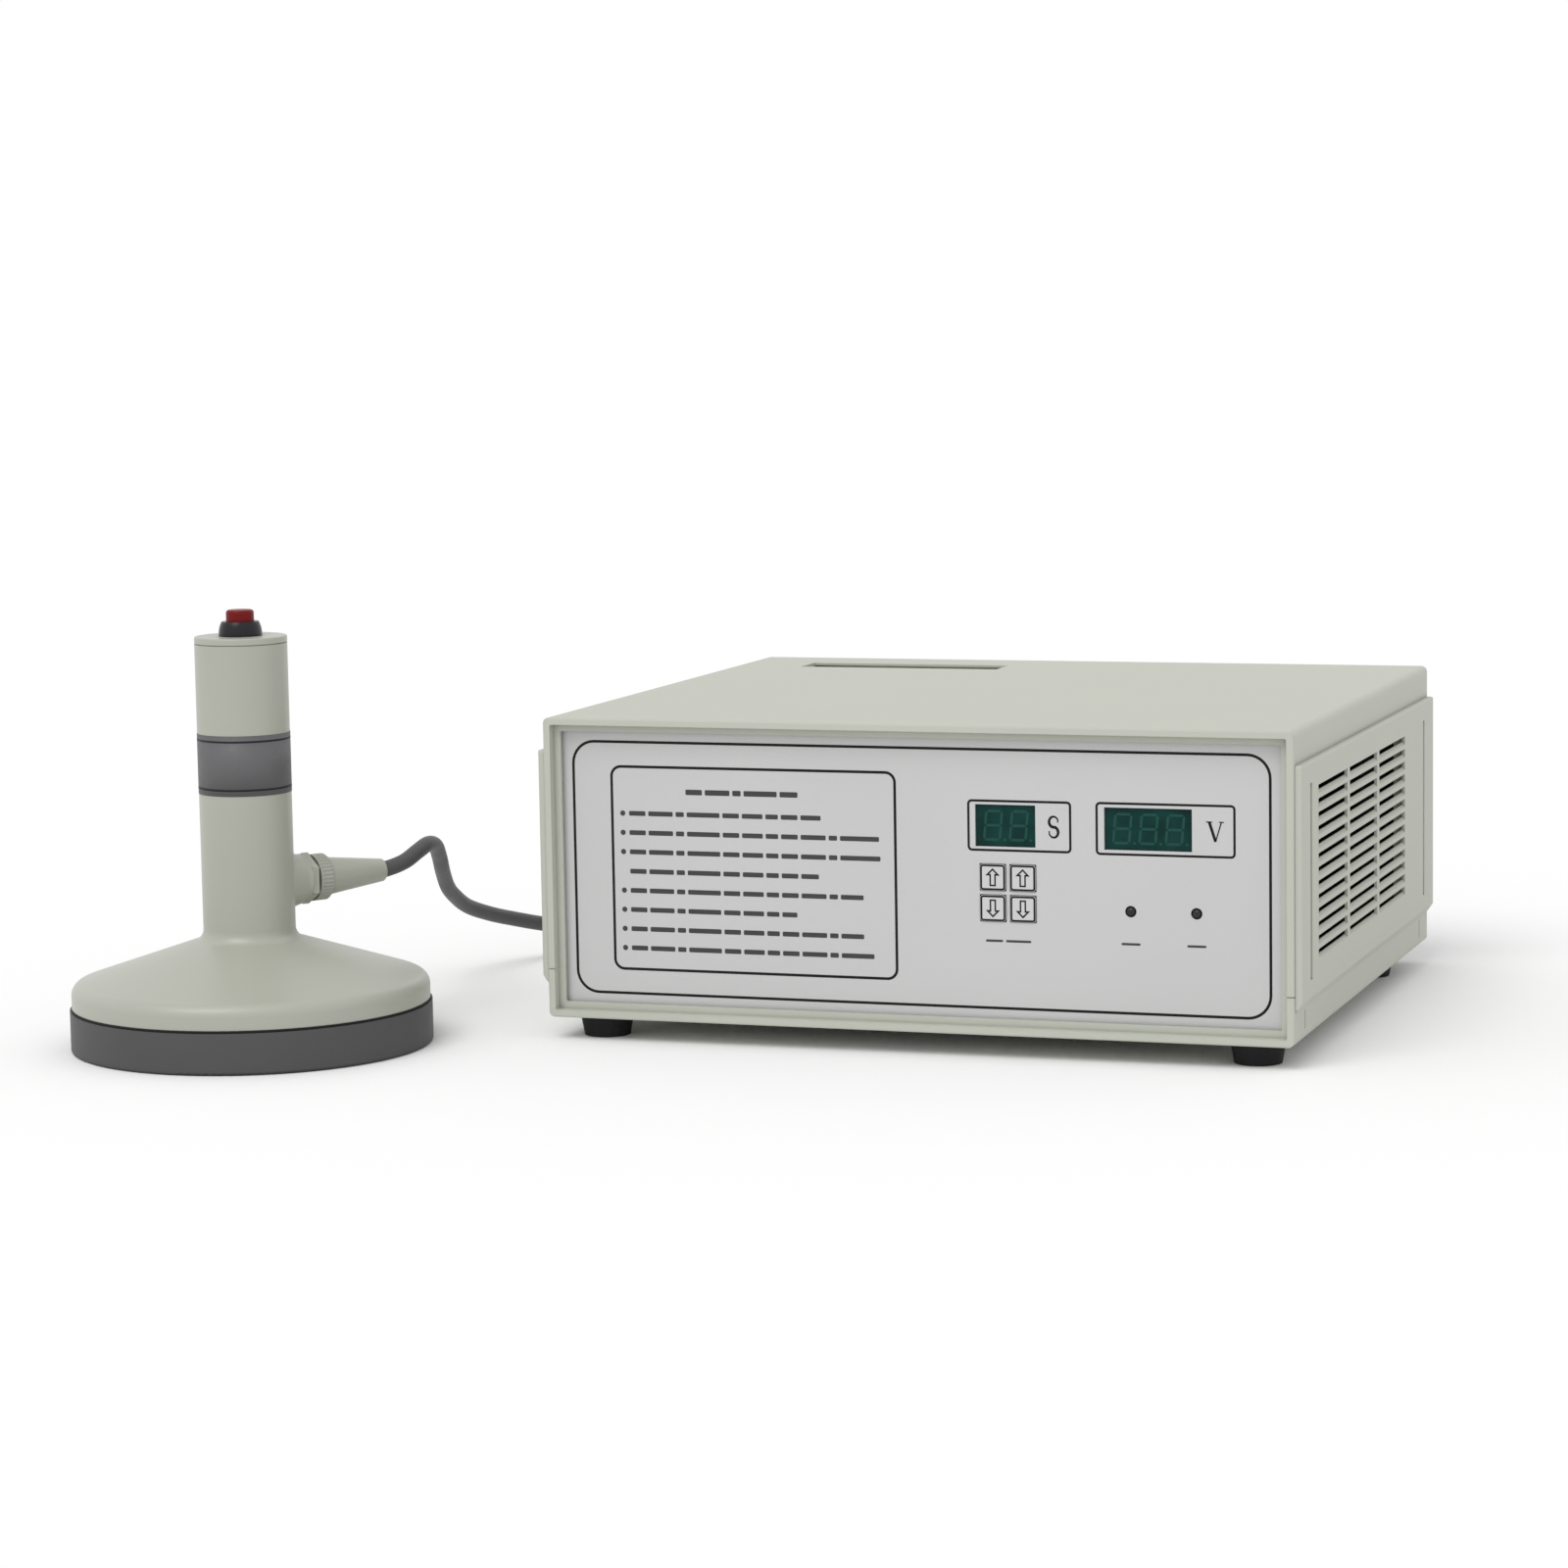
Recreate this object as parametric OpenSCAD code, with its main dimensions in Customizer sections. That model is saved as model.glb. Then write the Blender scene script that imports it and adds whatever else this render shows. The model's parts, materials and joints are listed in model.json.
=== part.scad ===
// Hand-held induction cap sealer: a generator in a plastic bench case and a sealing head on a cable.
// The origin is the centre of the head's sealing face, +Z is up and the front faces -Y. Units are mm.

/* [Layout] */
// Sideways distance from the head's axis to the middle of the case
case_x = 323; // [300:1:400]
// Distance from the head's axis back to the middle of the case
case_y = 210; // [160:1:280]

/* [Case] */
// Width of the case
case_w = 370; // [350:1:420]
// Depth of the case
case_d = 330; // [310:1:380]
// Height of the case without its feet
case_h = 147; // [140:1:170]
// Wall of the two shells
wall = 3; // [2.5:0.1:3.5]
// Rounding of the case's long edges
edge_r = 3.5; // [2:0.5:5]
// Rounding of the case's front and rear edges
lip_edge = 1; // [0.5:0.1:2]
// Height of the base tray, where the two shells part
tray_h = 24; // [20:1:30]
// Height of the groove where the two shells part
seam_h = 0.5; // [0.3:0.1:0.8]
// Depth of the groove where the two shells part
seam_depth = 0.5; // [0.2:0.1:0.8]
// Height of the cover's skirt above the side panels
skirt_h = 16; // [12:1:20]
// Distance of the catch slots in the tray's sides from the middle
catch_y = 142; // [135:0.5:150]
// Height of a catch slot
catch_h = 9; // [6:0.5:10]
// Width of a catch slot
catch_w = 1.2; // [0.8:0.1:2]
// Height of the catch slots above the case's underside
catch_z = 5.5; // [5:0.5:6.5]

/* [Panel openings] */
// Width of the outer lip round each panel
lip_w = 3.6; // [3.2:0.1:4.5]
// Depth of the step behind the lip
lip_depth = 5.2; // [3:0.1:8]
// Width of the inner rib round each panel
rib_w = 3.5; // [3:0.1:4.5]
// Depth of the rib in front of the panel
rib_depth = 3.6; // [3.2:0.1:6]
// Open gap between the rib and the panel
panel_gap = 1.8; // [1:0.1:2]
// Corner radius of the openings
mouth_r = 0.8; // [0.5:0.1:3]
// Thickness of the front and rear panels
panel_t = 2.5; // [2:0.1:3]
// How far a panel's edge reaches into its slot
slot_bite = 2.2; // [1.5:0.1:2.6]
// Thickness of the rib that keeps a panel from behind
keeper_t = 2.5; // [2:0.1:4]

/* [Grip pocket] */
// Width of the pocket in the top
pocket_w = 110; // [90:1:130]
// Front to back size of the pocket's mouth
pocket_d = 23; // [20:1:30]
// Depth of the pocket below the top
pocket_depth = 17; // [12:1:22]
// How far the pocket reaches under its rear edge
pocket_undercut = 8; // [4:0.5:10]
// Thickness of the top over the undercut
pocket_lip = 1.3; // [1:0.1:2]
// Wall of the pocket
pocket_wall = 2; // [1.5:0.1:2.5]
// Distance from the left side of the case to the pocket
pocket_left = 39; // [34:1:60]
// Distance from the rear of the case to the pocket's mouth
pocket_rear = 31.5; // [28:0.5:50]

/* [Side vents] */
// How far a side panel stands proud of the case
side_t = 3.6; // [3:0.1:6]
// How far a side panel laps over the base tray
side_lap = 7.5; // [4:0.5:9]
// Height of the slope at a side panel's lower edge
side_bevel = 4.5; // [2:0.5:8]
// Thickness left at a side panel's lower edge
side_foot_t = 0.5; // [0.4:0.1:1.5]
// Distance from the case's front and rear edges to a side panel
side_inset = 1.5; // [1.2:0.1:8]
// Rounding of a side panel's outer edges
side_r = 1.5; // [1:0.5:3]
// Length of a vent slit
slit_len = 67; // [50:1:72]
// Height of a slit on the outside
slit_h = 4.4; // [3:0.1:5]
// How much lower a slit is on the inside
slit_draft = 1.5; // [0.5:0.1:2]
// Thickness of a side panel at the slits
vent_t = 1.6; // [1.2:0.1:2.4]
// Spacing of the rows of slits
slit_pitch = 6.45; // [5.5:0.05:8]
// Land between the columns of slits
bay_land = 5.4; // [4:0.1:12]
// Land in front of the slits
vent_front = 35.5; // [30:0.5:45]
// Smallest land behind the slits
vent_rear = 60; // [50:1:70]
// Land above the slits
vent_top = 12.7; // [10:0.1:16]
// Smallest land below the slits
vent_foot = 18; // [16:1:22]
// Wall round the vent window in the cover, past the slits
window_margin = 4; // [3.5:0.1:6]
// Thickness of the rim that seats a side panel in its window
rim_t = 1.8; // [1.5:0.1:2.2]
// Width of the two upright flutes
flute_w = 4; // [2:0.5:6]
// Depth of the two upright flutes
flute_depth = 1.5; // [0.8:0.1:2]
// Distance from the panel's front end to the front flute
flute_front = 19.5; // [14:0.5:24]
// Distance from the panel's rear end to the rear flute
flute_rear = 28; // [16:0.5:30]
// Land below the flutes
flute_foot = 12.5; // [10:0.5:16]
// Land above the flutes
flute_head = 10; // [6:0.5:14]

/* [Front panel] */
// Middle of the time window from the panel's middle
time_x = 45; // [40:0.5:50]
// Middle of the voltage window from the panel's middle
volt_x = 114; // [105:0.5:125]
// Height of both windows above the case's underside
window_z = 98.8; // [95:0.1:105]
// Width of one digit of a display
digit_w = 12.6; // [11:0.1:13]
// Height of a display
digit_h = 19; // [16:0.5:20]
// Width of window beside the digits
window_side = 2.1; // [1:0.1:3]
// Height of window above and below the digits
window_head = 0.5; // [0.3:0.1:2]
// Depth of a display
display_d = 8; // [7:0.5:9]
// Thickness of a window
window_t = 0.9; // [0.6:0.1:1.5]
// Middle of the key block from the panel's middle
key_x = 46.1; // [40:0.1:52]
// Height of the key block above the case's underside
key_z = 66.9; // [62:0.1:70]
// Width and height of a key
key_w = 12.5; // [11:0.1:13.5]
// Spacing of the keys
key_pitch = 14.7; // [14.4:0.1:17]
// How far a key stands proud of the panel
key_proud = 0.6; // [0.5:0.1:1]
// Travel of a key
key_travel = 0.4; // [0.2:0.05:0.5]
// Middle of the two lamps from the panel's middle
lamp_x = 121.3; // [115:0.1:125]
// Distance between the two lamps
lamp_gap = 31.5; // [20:0.5:40]
// Height of the lamps above the case's underside
lamp_z = 60; // [55:0.5:64]
// Radius of a lamp
lamp_r = 2.5; // [1.5:0.1:3]
// How far a lamp stands proud of the panel
lamp_proud = 1; // [0.5:0.1:2]

/* [Circuit boards] */
// Thickness of a circuit board
pcb_t = 1.6; // [1.2:0.1:2]
// Width of the power board
power_w = 250; // [240:1:280]
// Length of the power board
power_l = 205; // [200:1:210]
// Height of the posts under the power board
power_lift = 8; // [6:0.5:12]
// Radius of a board post
post_r = 4; // [3:0.5:5]
// Inset of the screws from a board's edges
hole_inset = 6; // [5:0.5:8]
// Length of the control board past the displays and keys
control_edge = 16; // [15:0.5:18]
// Width of the heat sink
sink_w = 70; // [60:1:74]
// Length of the heat sink
sink_l = 140; // [120:1:150]
// Height of the heat sink
sink_h = 58; // [40:1:80]
// Thickness of the heat sink's base
sink_base = 6; // [4:0.5:8]
// Number of fins
fin_count = 11; // [7:1:14]
// Thickness of a fin
fin_t = 2; // [1.5:0.1:2.5]
// Radius of a filter capacitor
cap_r = 17.5; // [15:0.5:18]
// Land between the power board's front edge and the capacitors
cap_land = 25; // [20:1:30]
// Height of a filter capacitor
cap_h = 50; // [35:1:60]
// Width of the transformer's core
core_w = 70; // [60:1:80]
// Height of the transformer's core
core_h = 60; // [50:1:70]
// Depth of the transformer's core
core_d = 36; // [26:1:44]
// Thickness of the core's outer legs
core_leg = 10; // [8:0.5:12]

/* [Rear panel] */
// Middle of the fan from the panel's middle
fan_x = 90; // [85:1:95]
// Middle of the mains inlet from the panel's middle
inlet_x = -125; // [-135:1:-110]
// Height of the mains inlet above the case's underside
inlet_z = 45; // [40:1:60]
// Width of the mains inlet's flange
inlet_w = 50; // [46:1:54]
// Height of the mains inlet's flange
inlet_h = 24; // [22:0.5:28]
// Middle of the power switch from the panel's middle
switch_x = -125; // [-135:1:-110]
// Height of the power switch above the case's underside
switch_z = 98; // [90:1:110]
// Tilt of the rocker to each side
rocker_tilt = 9; // [5:0.5:10]
// Middle of the cable gland from the panel's middle
outlet_x = -43; // [-60:1:-30]
// Height of the cable gland above the case's underside
outlet_z = 50; // [40:1:70]

/* [Fan] */
// Width of the fan's frame
fan_w = 80; // [80:1:92]
// Depth of the fan's frame
fan_depth = 25; // [20:1:32]
// Radius of the fan's bore
fan_r = 38; // [36:0.5:39]
// Distance of the fan's screws from its middle lines
fan_hole = 35.75; // [34:0.25:36]
// Radius of the fan's hub
hub_r = 19; // [16:0.5:22]
// Number of blades
blade_count = 7; // [5:1:9]
// Gap between the blades and the bore
blade_gap = 1.2; // [0.8:0.1:2]
// Radius of the wire of the fan guard
wire_r = 0.9; // [0.7:0.1:1.2]

/* [Feet] */
// Height of a foot
foot_h = 11; // [10:0.5:16]
// Radius of a foot at the case
foot_r = 13.3; // [10:0.1:16]
// Radius of a foot at the table
foot_tip_r = 11.3; // [8:0.1:14]
// Distance of the feet from the case's sides
foot_inset_x = 22; // [20:1:30]
// Distance of the front feet from the case's front
foot_front = 22; // [21:1:30]
// Distance of the rear feet from the case's rear
foot_rear = 50; // [24:1:60]
// Radius of a case screw
case_screw_r = 2; // [1.5:0.1:2.5]
// Depth of the recess for a screw's head in a foot
foot_sink = 5; // [4:0.5:7]

/* [Sealing head] */
// Radius of the sealing plate
plate_r = 88; // [80:1:100]
// Thickness of the sealing plate
plate_h = 20; // [18:0.5:26]
// Thickness of the plate under the coil
sole_t = 5; // [3:0.5:6]
// Rim of the plate round the coil
plate_rim = 18; // [17:0.5:20]
// Rounding of the plate's edge
plate_edge = 1.5; // [0.5:0.5:3]
// Thickness of the gasket
gasket_t = 1.2; // [0.8:0.1:2]
// How far the shell lies inside the plate's edge
shell_inset = 1; // [0.5:0.1:2]
// Height of the shell's straight rim
rim_h = 6.2; // [6.2:0.1:10]
// Radius of the shell's shoulder
shoulder_r = 6; // [4:0.5:6]
// Slope of the shell's cone in degrees
cone_slope = 18.3; // [14:0.1:24]
// Wall of the shell
shell_wall = 3; // [2.5:0.1:4]
// Radius of the handle
handle_r = 22.4; // [21:0.1:26]
// Fillet between the cone and the handle
handle_fillet = 6; // [3:0.5:10]
// Height of the handle's open end
handle_top = 196.5; // [170:0.5:230]
// Thickness of the handle's cap
cap_t = 3.5; // [3:0.1:6]
// Rounding of the cap's edge
cap_edge = 0.8; // [0.5:0.1:2.5]
// Seam under the cap's edge
cap_seam = 0.5; // [0.3:0.1:0.8]
// Turns of the induction coil
coil_turns = 6; // [4:1:6]
// Radius of the coil's wire
coil_wire_r = 3.5; // [2.5:0.1:3.5]
// Radius of the coil's first turn
coil_r = 18; // [14:0.5:18]
// Spacing of the coil's turns
coil_pitch = 7.6; // [7.2:0.1:7.6]
// Number of ferrite bars
ferrite_count = 8; // [6:1:8]
// Width of a ferrite bar
ferrite_w = 12; // [8:0.5:12]
// Height of a ferrite bar
ferrite_h = 6.5; // [5:0.1:7]

/* [Trigger] */
// Radius of the switch bezel at the cap
bezel_r = 10.5; // [9.5:0.1:13]
// Radius of the switch bezel at its top
bezel_tip_r = 9; // [8:0.1:9.4]
// Height of the switch bezel
bezel_h = 7; // [5:0.5:10]
// Radius of the trigger button
button_r = 6.75; // [5.5:0.05:6.75]
// How far the button stands above the bezel
button_proud = 5.6; // [4.5:0.1:8]
// Travel of the button
button_travel = 3; // [2:0.1:4]
// Wall of the switch barrel
barrel_wall = 0.9; // [0.8:0.1:1.2]
// Depth of the barrel below the cap's top
barrel_l = 22; // [20:1:30]

/* [Cable and glands] */
// Diameter of the cable
cable_d = 8; // [6:0.5:9]
// Height of the gland on the handle
gland_h = 78.4; // [72:0.1:90]
// Direction of the gland on the handle, from +X towards +Y
gland_turn = 55; // [45:1:65]
// Distance from the handle's axis to the gland's seat
gland_reach = 30; // [28:0.5:34]
// Radius of the boss under the gland
boss_r = 12.3; // [11:0.1:13]
// Radius of a gland's thread
thread_r = 8; // [7:0.1:8.5]
// Width across the flats of a gland's collar
collar_af = 22; // [20:0.5:24]
// Height of a gland's collar
collar_h = 3.5; // [3:0.1:5]
// Seam between a collar and its ring
ring_seam = 1.2; // [0.3:0.1:1.5]
// Radius of a gland's ring
ring_r = 11.5; // [11:0.1:13]
// Length of a gland's ring
ring_l = 7; // [6:0.5:10]
// Number of grips on a ring
grip_count = 36; // [12:1:40]
// Radius of a boot at its ring
boot_r = 9.25; // [8.5:0.05:9.5]
// Radius of a boot at its tip
boot_tip_r = 5.65; // [5:0.05:6.5]
// Length of a boot
boot_l = 34.2; // [25:0.1:45]

/* [Fits] */
// Clearance of fixed pieces in their seats
fit = 0.2; // [0.1:0.05:0.25]
// Radial clearance of pieces that turn
run = 0.05; // [0.03:0.01:0.1]
// Gap round keys, the rocker and the trigger button
slide_gap = 0.25; // [0.2:0.05:0.35]

/* [Hidden] */
$fn = 48;
over = 1;

shell_colour = [0.79, 0.79, 0.75];
handle_colour = [0.66, 0.66, 0.61];
black = [0.1, 0.1, 0.1];
steel = [0.72, 0.73, 0.74];
board_green = [0.12, 0.35, 0.2];

// Case and panel openings
bezel_d = lip_depth + rib_depth;
frame_w = lip_w + rib_w;
open_w = case_w - 2 * frame_w;
open_h = case_h - 2 * frame_w;
panel_w = open_w + 2 * slot_bite;
panel_h = open_h + 2 * slot_bite;
front_face = -case_d / 2 + bezel_d;
rear_face = case_d / 2 - bezel_d;
cavity_d = case_d - 2 * (bezel_d + panel_t + fit + keeper_t);
panel_back = -panel_t;

// Side panels and their windows
side_len = case_d - 2 * side_inset;
side_low = tray_h - side_lap;
side_high = case_h - skirt_h;
side_h = side_high - side_low;
bay_pitch = slit_len + bay_land;
slit_throat = slit_h - slit_draft;
vent_bays = floor((side_len - vent_front - vent_rear - slit_len) / bay_pitch) + 1;
vent_rows = floor((side_h - vent_top - vent_foot - slit_h) / slit_pitch) + 1;
vent_len = (vent_bays - 1) * bay_pitch + slit_len;
vent_h = (vent_rows - 1) * slit_pitch + slit_h;
vent_y = -side_len / 2 + vent_front + vent_len / 2;
vent_z = side_high - vent_top - vent_h / 2;
window_len = vent_len + 2 * window_margin;
window_high = vent_h + 2 * window_margin;

// Feet and the screws through them
foot_x = case_w / 2 - foot_inset_x;
foot_front_y = foot_front - case_d / 2;
foot_rear_y = case_d / 2 - foot_rear;
column_r = case_screw_r + 3;
pilot_l = 16;
catch_depth = 1;
head_r = 2 * case_screw_r;
head_h = 2.6;

// Front panel pieces, with depths measured from the panel's outer face
window_h = digit_h + 2 * window_head;
board_gap = display_d + fit;
board_front = panel_back - board_gap;
tact_w = 6;
tact_h = 3.5;
tact_plunger_r = 1.75;
tact_plunger_h = board_gap - 1.2;
key_back = board_front + tact_plunger_h + key_travel + fit;
control_left = min(time_x - digit_w, key_x - key_pitch) - control_edge;
control_right = volt_x + 1.5 * digit_w + control_edge;
control_low = min(key_z - key_pitch, lamp_z) - control_edge / 2;
control_high = window_z + digit_h / 2 + control_edge;
control_w = control_right - control_left;
control_h = control_high - control_low;
control_mid = [(control_left + control_right) / 2, (control_low + control_high) / 2];
screw_r = 1.5;
screw_l = 8;
screw_head_r = 2.75;
screw_head_h = 2;
spacer_af = 5.5;

// Power board and what stands on it
power_y = -5;
power_z = wall + power_lift;
deck_z = power_z + pcb_t;
sink_y = power_y + power_l / 2 - 2 * hole_inset - sink_l / 2 - 2;
fin_pitch = (sink_w - fin_t) / (fin_count - 1);
device_t = 5;
device_w = 16;
device_h = 21;
device_lift = 7;
device_pitch = 32;
leg_w = 1.2;
leg_pitch = 5;
cap_y = power_y - power_l / 2 + cap_r + cap_land;
cap_pitch = 2 * cap_r + 8;
cap_x0 = -power_w / 2 + cap_r + 10;
core_x = -75;
core_y = 45;
core_mid = 2 * core_leg;
core_window_w = (core_w - 2 * core_leg - core_mid) / 2;
core_window_h = core_h - 2 * core_leg;
winding_t = core_window_w - 2;

// Fan, measured from the inner face of the rear panel
fan_z = case_h / 2;
spider_t = 3;
spider_gap = 0.5;
axle_r = 1.5;
bearing_r = 4;
bearing_l = 14;
cup_wall = 2;
rotor_top = -3;
rotor_low = -fan_depth + spider_t + spider_gap;
blade_t = 1.4;
blade_pitch_angle = 38;
strut_w = 5;
guard_step = 8;
guard_rings = 4;
fan_screw_r = 2;
fan_screw_l = 24;

// Mains inlet and power switch, measured from the outer face of the rear panel
flange_t = 3;
socket_w = 24.2;
socket_h = 16.4;
socket_depth = 16;
socket_cut = 4;
shroud_wall = 1.6;
shroud_w = socket_w + 2 * shroud_wall;
shroud_h = socket_h + 2 * shroud_wall;
shroud_back = flange_t - socket_depth - 4;
blade_w = 2;
blade_h = 4;
blade_gap_x = 7;
blade_gap_y = 2;
inlet_hole = inlet_w / 2 - 5;
rocker_w = 11;
rocker_r = 8.5;
rocker_high = 4.6;
rocker_dip = 3.2;
rocker_low = 4;
rocker_pin_r = 1;
rocker_pin_l = 1;
pivot_z = -1.5;
well_w = rocker_w + 2 * slide_gap;
well_h = 2 * (rocker_r + slide_gap);
well_depth = 9;
switch_wall = 1.3;
switch_rim = 1.8;
switch_rim_t = 2;
switch_depth = 14;

// Sealing head
cavity_r = plate_r - plate_rim;
gasket_r = plate_r - shell_inset + 0.2;
gasket_w = 5;
shell_r = plate_r - shell_inset;
shell_low = plate_h + gasket_t;
shoulder_z = shell_low + rim_h;
shoulder_x = shell_r - shoulder_r;
cone_x = shoulder_x + shoulder_r * sin(cone_slope);
cone_z = shoulder_z + shoulder_r * cos(cone_slope);
fillet_x = handle_r + handle_fillet;
foot_cone_x = fillet_x - handle_fillet * sin(cone_slope);
foot_cone_z = cone_z + (cone_x - foot_cone_x) * tan(cone_slope);
fillet_z = foot_cone_z + handle_fillet * cos(cone_slope);
bore_r = handle_r - shell_wall - 0.9;
hollow_r = shell_r - 2 * shell_wall - 1;
cone_drop = shell_wall / cos(cone_slope);
hollow_z = cone_z + (cone_x - hollow_r) * tan(cone_slope) - cone_drop;
throat_z = cone_z + (cone_x - bore_r) * tan(cone_slope) - cone_drop;
head_screw_r = 1.5;
head_boss_r = 3.8;
head_screw_x = hollow_r - head_boss_r + 0.8;
head_screw_top = shell_low + 7;
head_boss_top = cone_z + (cone_x - head_screw_x) * tan(cone_slope) - cone_drop / 2;
head_sink_r = 3.2;
spigot_l = 6.5;
spigot_wall = 2;
coil_z = sole_t + coil_wire_r;
ferrite_r = coil_r + 1;
ferrite_l = coil_pitch * coil_turns;

// Trigger, measured from the top of the handle's cap
barrel_r = button_r + slide_gap + barrel_wall;
bezel_base = 1;
bezel_taper = bezel_r - bezel_tip_r;
bezel_bulge = (bezel_taper * bezel_taper + pow(bezel_h - bezel_base, 2)) / (2 * bezel_taper);
cap_top = handle_top + cap_t;
button_low = -10;
button_edge = 1.5;
plunger_top = button_low - button_travel - 0.4;
block_l = 18;
nut_h = 4;
nut_af = 20;

// Glands, measured along each gland's axis from its seat
ring_low = collar_h + ring_seam;
ring_top = ring_low + ring_l;
boot_tip = ring_top + boot_l;
stub_l = 9;
neck_r = thread_r + 0.5;
ring_lid = 1.5;
stem_r = 6;
grip_r = 0.55;
locknut_h = 4;

// Cable route: hand-placed points between the tips of the two boots
head_axis = [cos(gland_turn), sin(gland_turn), 0];
head_exit = (gland_reach + boot_tip) * head_axis + [0, 0, gland_h];
case_exit = [case_x + outlet_x, case_y + rear_face + boot_tip, foot_h + outlet_z];
route = [
  [50, 73, 81], [53, 84, 85], [53, 97, 87], [50, 113, 84], [43, 134, 75], [35, 156, 64], [28, 178, 53],
  [24, 197, 45], [23, 216, 37], [26, 238, 30], [31, 256, 25], [41, 278, 19], [57, 303, 13], [77, 330, 8],
  [101, 357, 5], [130, 381, 4], [165, 398, 4], [210, 406, 4], [260, 408, 4], [310, 408, 4], [358, 409, 4],
  [400, 414, 4], [432, 429, 4], [448, 456, 4], [441, 486, 4], [417, 506, 5], [385, 512, 12], [352, 509, 26],
  [322, 498, 42], [299, 479, 54], [285, 456, 60], [281, 434, 61]
];
cable_sides = 10;
cable_steps = 2;
cable_lead = 12;

// Shared shapes
module rounded_rect(size, r) {
  square([size[0] - 2 * r, size[1]], center = true);
  square([size[0], size[1] - 2 * r], center = true);
  for (sx = [-1, 1], sy = [-1, 1])
    translate([sx * (size[0] / 2 - r), sy * (size[1] / 2 - r)]) circle(r);
}

module soft_block(size, r, end_r) {
  intersection() {
    linear_extrude(size[2], center = true) rounded_rect([size[0], size[1]], end_r);
    rotate([90, 0, 0]) linear_extrude(size[1], center = true) rounded_rect([size[0], size[2]], r);
    rotate([90, 0, 90]) linear_extrude(size[0], center = true) rounded_rect([size[1], size[2]], end_r);
  }
}

module tube(r_out, r_in, h) {
  difference() {
    cylinder(r = r_out, h = h);
    translate([0, 0, -over]) cylinder(r = r_in, h = h + 2 * over);
  }
}

module hex_prism(af, h) {
  cylinder(r = af / sqrt(3), h = h, $fn = 6);
}

module pan_screw(r, l, cap_radius, cap_height) {
  cylinder(r = cap_radius, h = cap_height);
  translate([0, 0, -l]) cylinder(r = r, h = l);
}

// Places: the case's own frame, its two panels and the gland on the handle
module at_case() {
  translate([case_x, case_y, foot_h]) children();
}

module on_front(x, z) {
  at_case() translate([x, front_face, z]) rotate([90, 0, 0]) children();
}

module on_rear(x, z) {
  at_case() translate([x, rear_face, z]) rotate([-90, 0, 0]) children();
}

module on_handle() {
  rotate(gland_turn) translate([gland_reach, 0, gland_h]) rotate([0, 90, 0]) children();
}

module at_feet() {
  for (sx = [-1, 1], y = [foot_front_y, foot_rear_y]) translate([sx * foot_x, y, 0]) children();
}

module at_power_holes() {
  for (sx = [-1, 1], sy = [-1, 1])
    translate([sx * (power_w / 2 - hole_inset), power_y + sy * (power_l / 2 - hole_inset), 0]) children();
}

module at_control_holes() {
  for (sx = [-1, 1], sy = [-1, 1])
    translate([sx * (control_w / 2 - hole_inset), sy * (control_h / 2 - hole_inset), 0]) children();
}

module at_fan_holes() {
  for (sx = [-1, 1], sy = [-1, 1]) translate([sx * fan_hole, sy * fan_hole, 0]) children();
}

module at_head_screws() {
  for (turn = [45:90:315]) rotate(turn) translate([head_screw_x, 0, 0]) children();
}

module at_keys() {
  for (sx = [-1, 1], sz = [-1, 1])
    translate([key_x + sx * key_pitch / 2, key_z + sz * key_pitch / 2, 0]) children();
}

// Case shells
module panel_mouth() {
  translate([0, -case_d / 2 + lip_depth, case_h / 2]) rotate([90, 0, 0])
    linear_extrude(lip_depth + over) rounded_rect([case_w - 2 * lip_w, case_h - 2 * lip_w], mouth_r);
  translate([0, -cavity_d / 2 + over, case_h / 2]) rotate([90, 0, 0])
    linear_extrude(case_d / 2 - cavity_d / 2 + 2 * over) rounded_rect([open_w, open_h], mouth_r);
  translate([0, front_face + (panel_t - panel_gap) / 2, case_h / 2])
    cube([panel_w + 2 * fit, panel_t + panel_gap, panel_h + 2 * fit], center = true);
}

module case_shell() {
  difference() {
    translate([0, 0, case_h / 2]) soft_block([case_w, case_d, case_h], edge_r, lip_edge);
    translate([0, 0, case_h / 2])
      cube([case_w - 2 * wall, cavity_d, case_h - 2 * wall], center = true);
    for (turn = [0, 180]) rotate(turn) panel_mouth();
  }
}

module slab(low, high) {
  translate([-case_w, -case_d, low]) cube([2 * case_w, 2 * case_d, high - low]);
}

module seam_groove() {
  difference() {
    slab(tray_h - seam_h, tray_h + over);
    translate([0, 0, tray_h])
      cube([case_w - 2 * seam_depth, case_d - 2 * seam_depth, 2 * (seam_h + over)], center = true);
  }
}

module base_tray() {
  color(shell_colour) at_case() difference() {
    union() {
      intersection() {
        case_shell();
        slab(-over, tray_h);
      }
      at_feet() cylinder(r = column_r, h = tray_h);
      at_power_holes() cylinder(r = post_r, h = power_z);
    }
    at_feet() translate([0, 0, -over]) cylinder(r = case_screw_r + fit, h = tray_h + 2 * over);
    at_power_holes() translate([0, 0, wall]) cylinder(r = screw_r + run, h = power_lift + over);
    for (sx = [-1, 1], sy = [-1, 1]) translate([sx * case_w / 2, sy * catch_y, catch_z + catch_h / 2])
      cube([2 * catch_depth, catch_w, catch_h], center = true);
    seam_groove();
  }
}

module pocket_tub() {
  low = case_h - pocket_depth - pocket_wall;
  deep = pocket_d + pocket_undercut;
  translate([pocket_left - case_w / 2 - pocket_wall, case_d / 2 - pocket_rear - pocket_d - pocket_wall, low])
    cube([pocket_w + 2 * pocket_wall, deep + 2 * pocket_wall, case_h - wall - low]);
}

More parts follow.
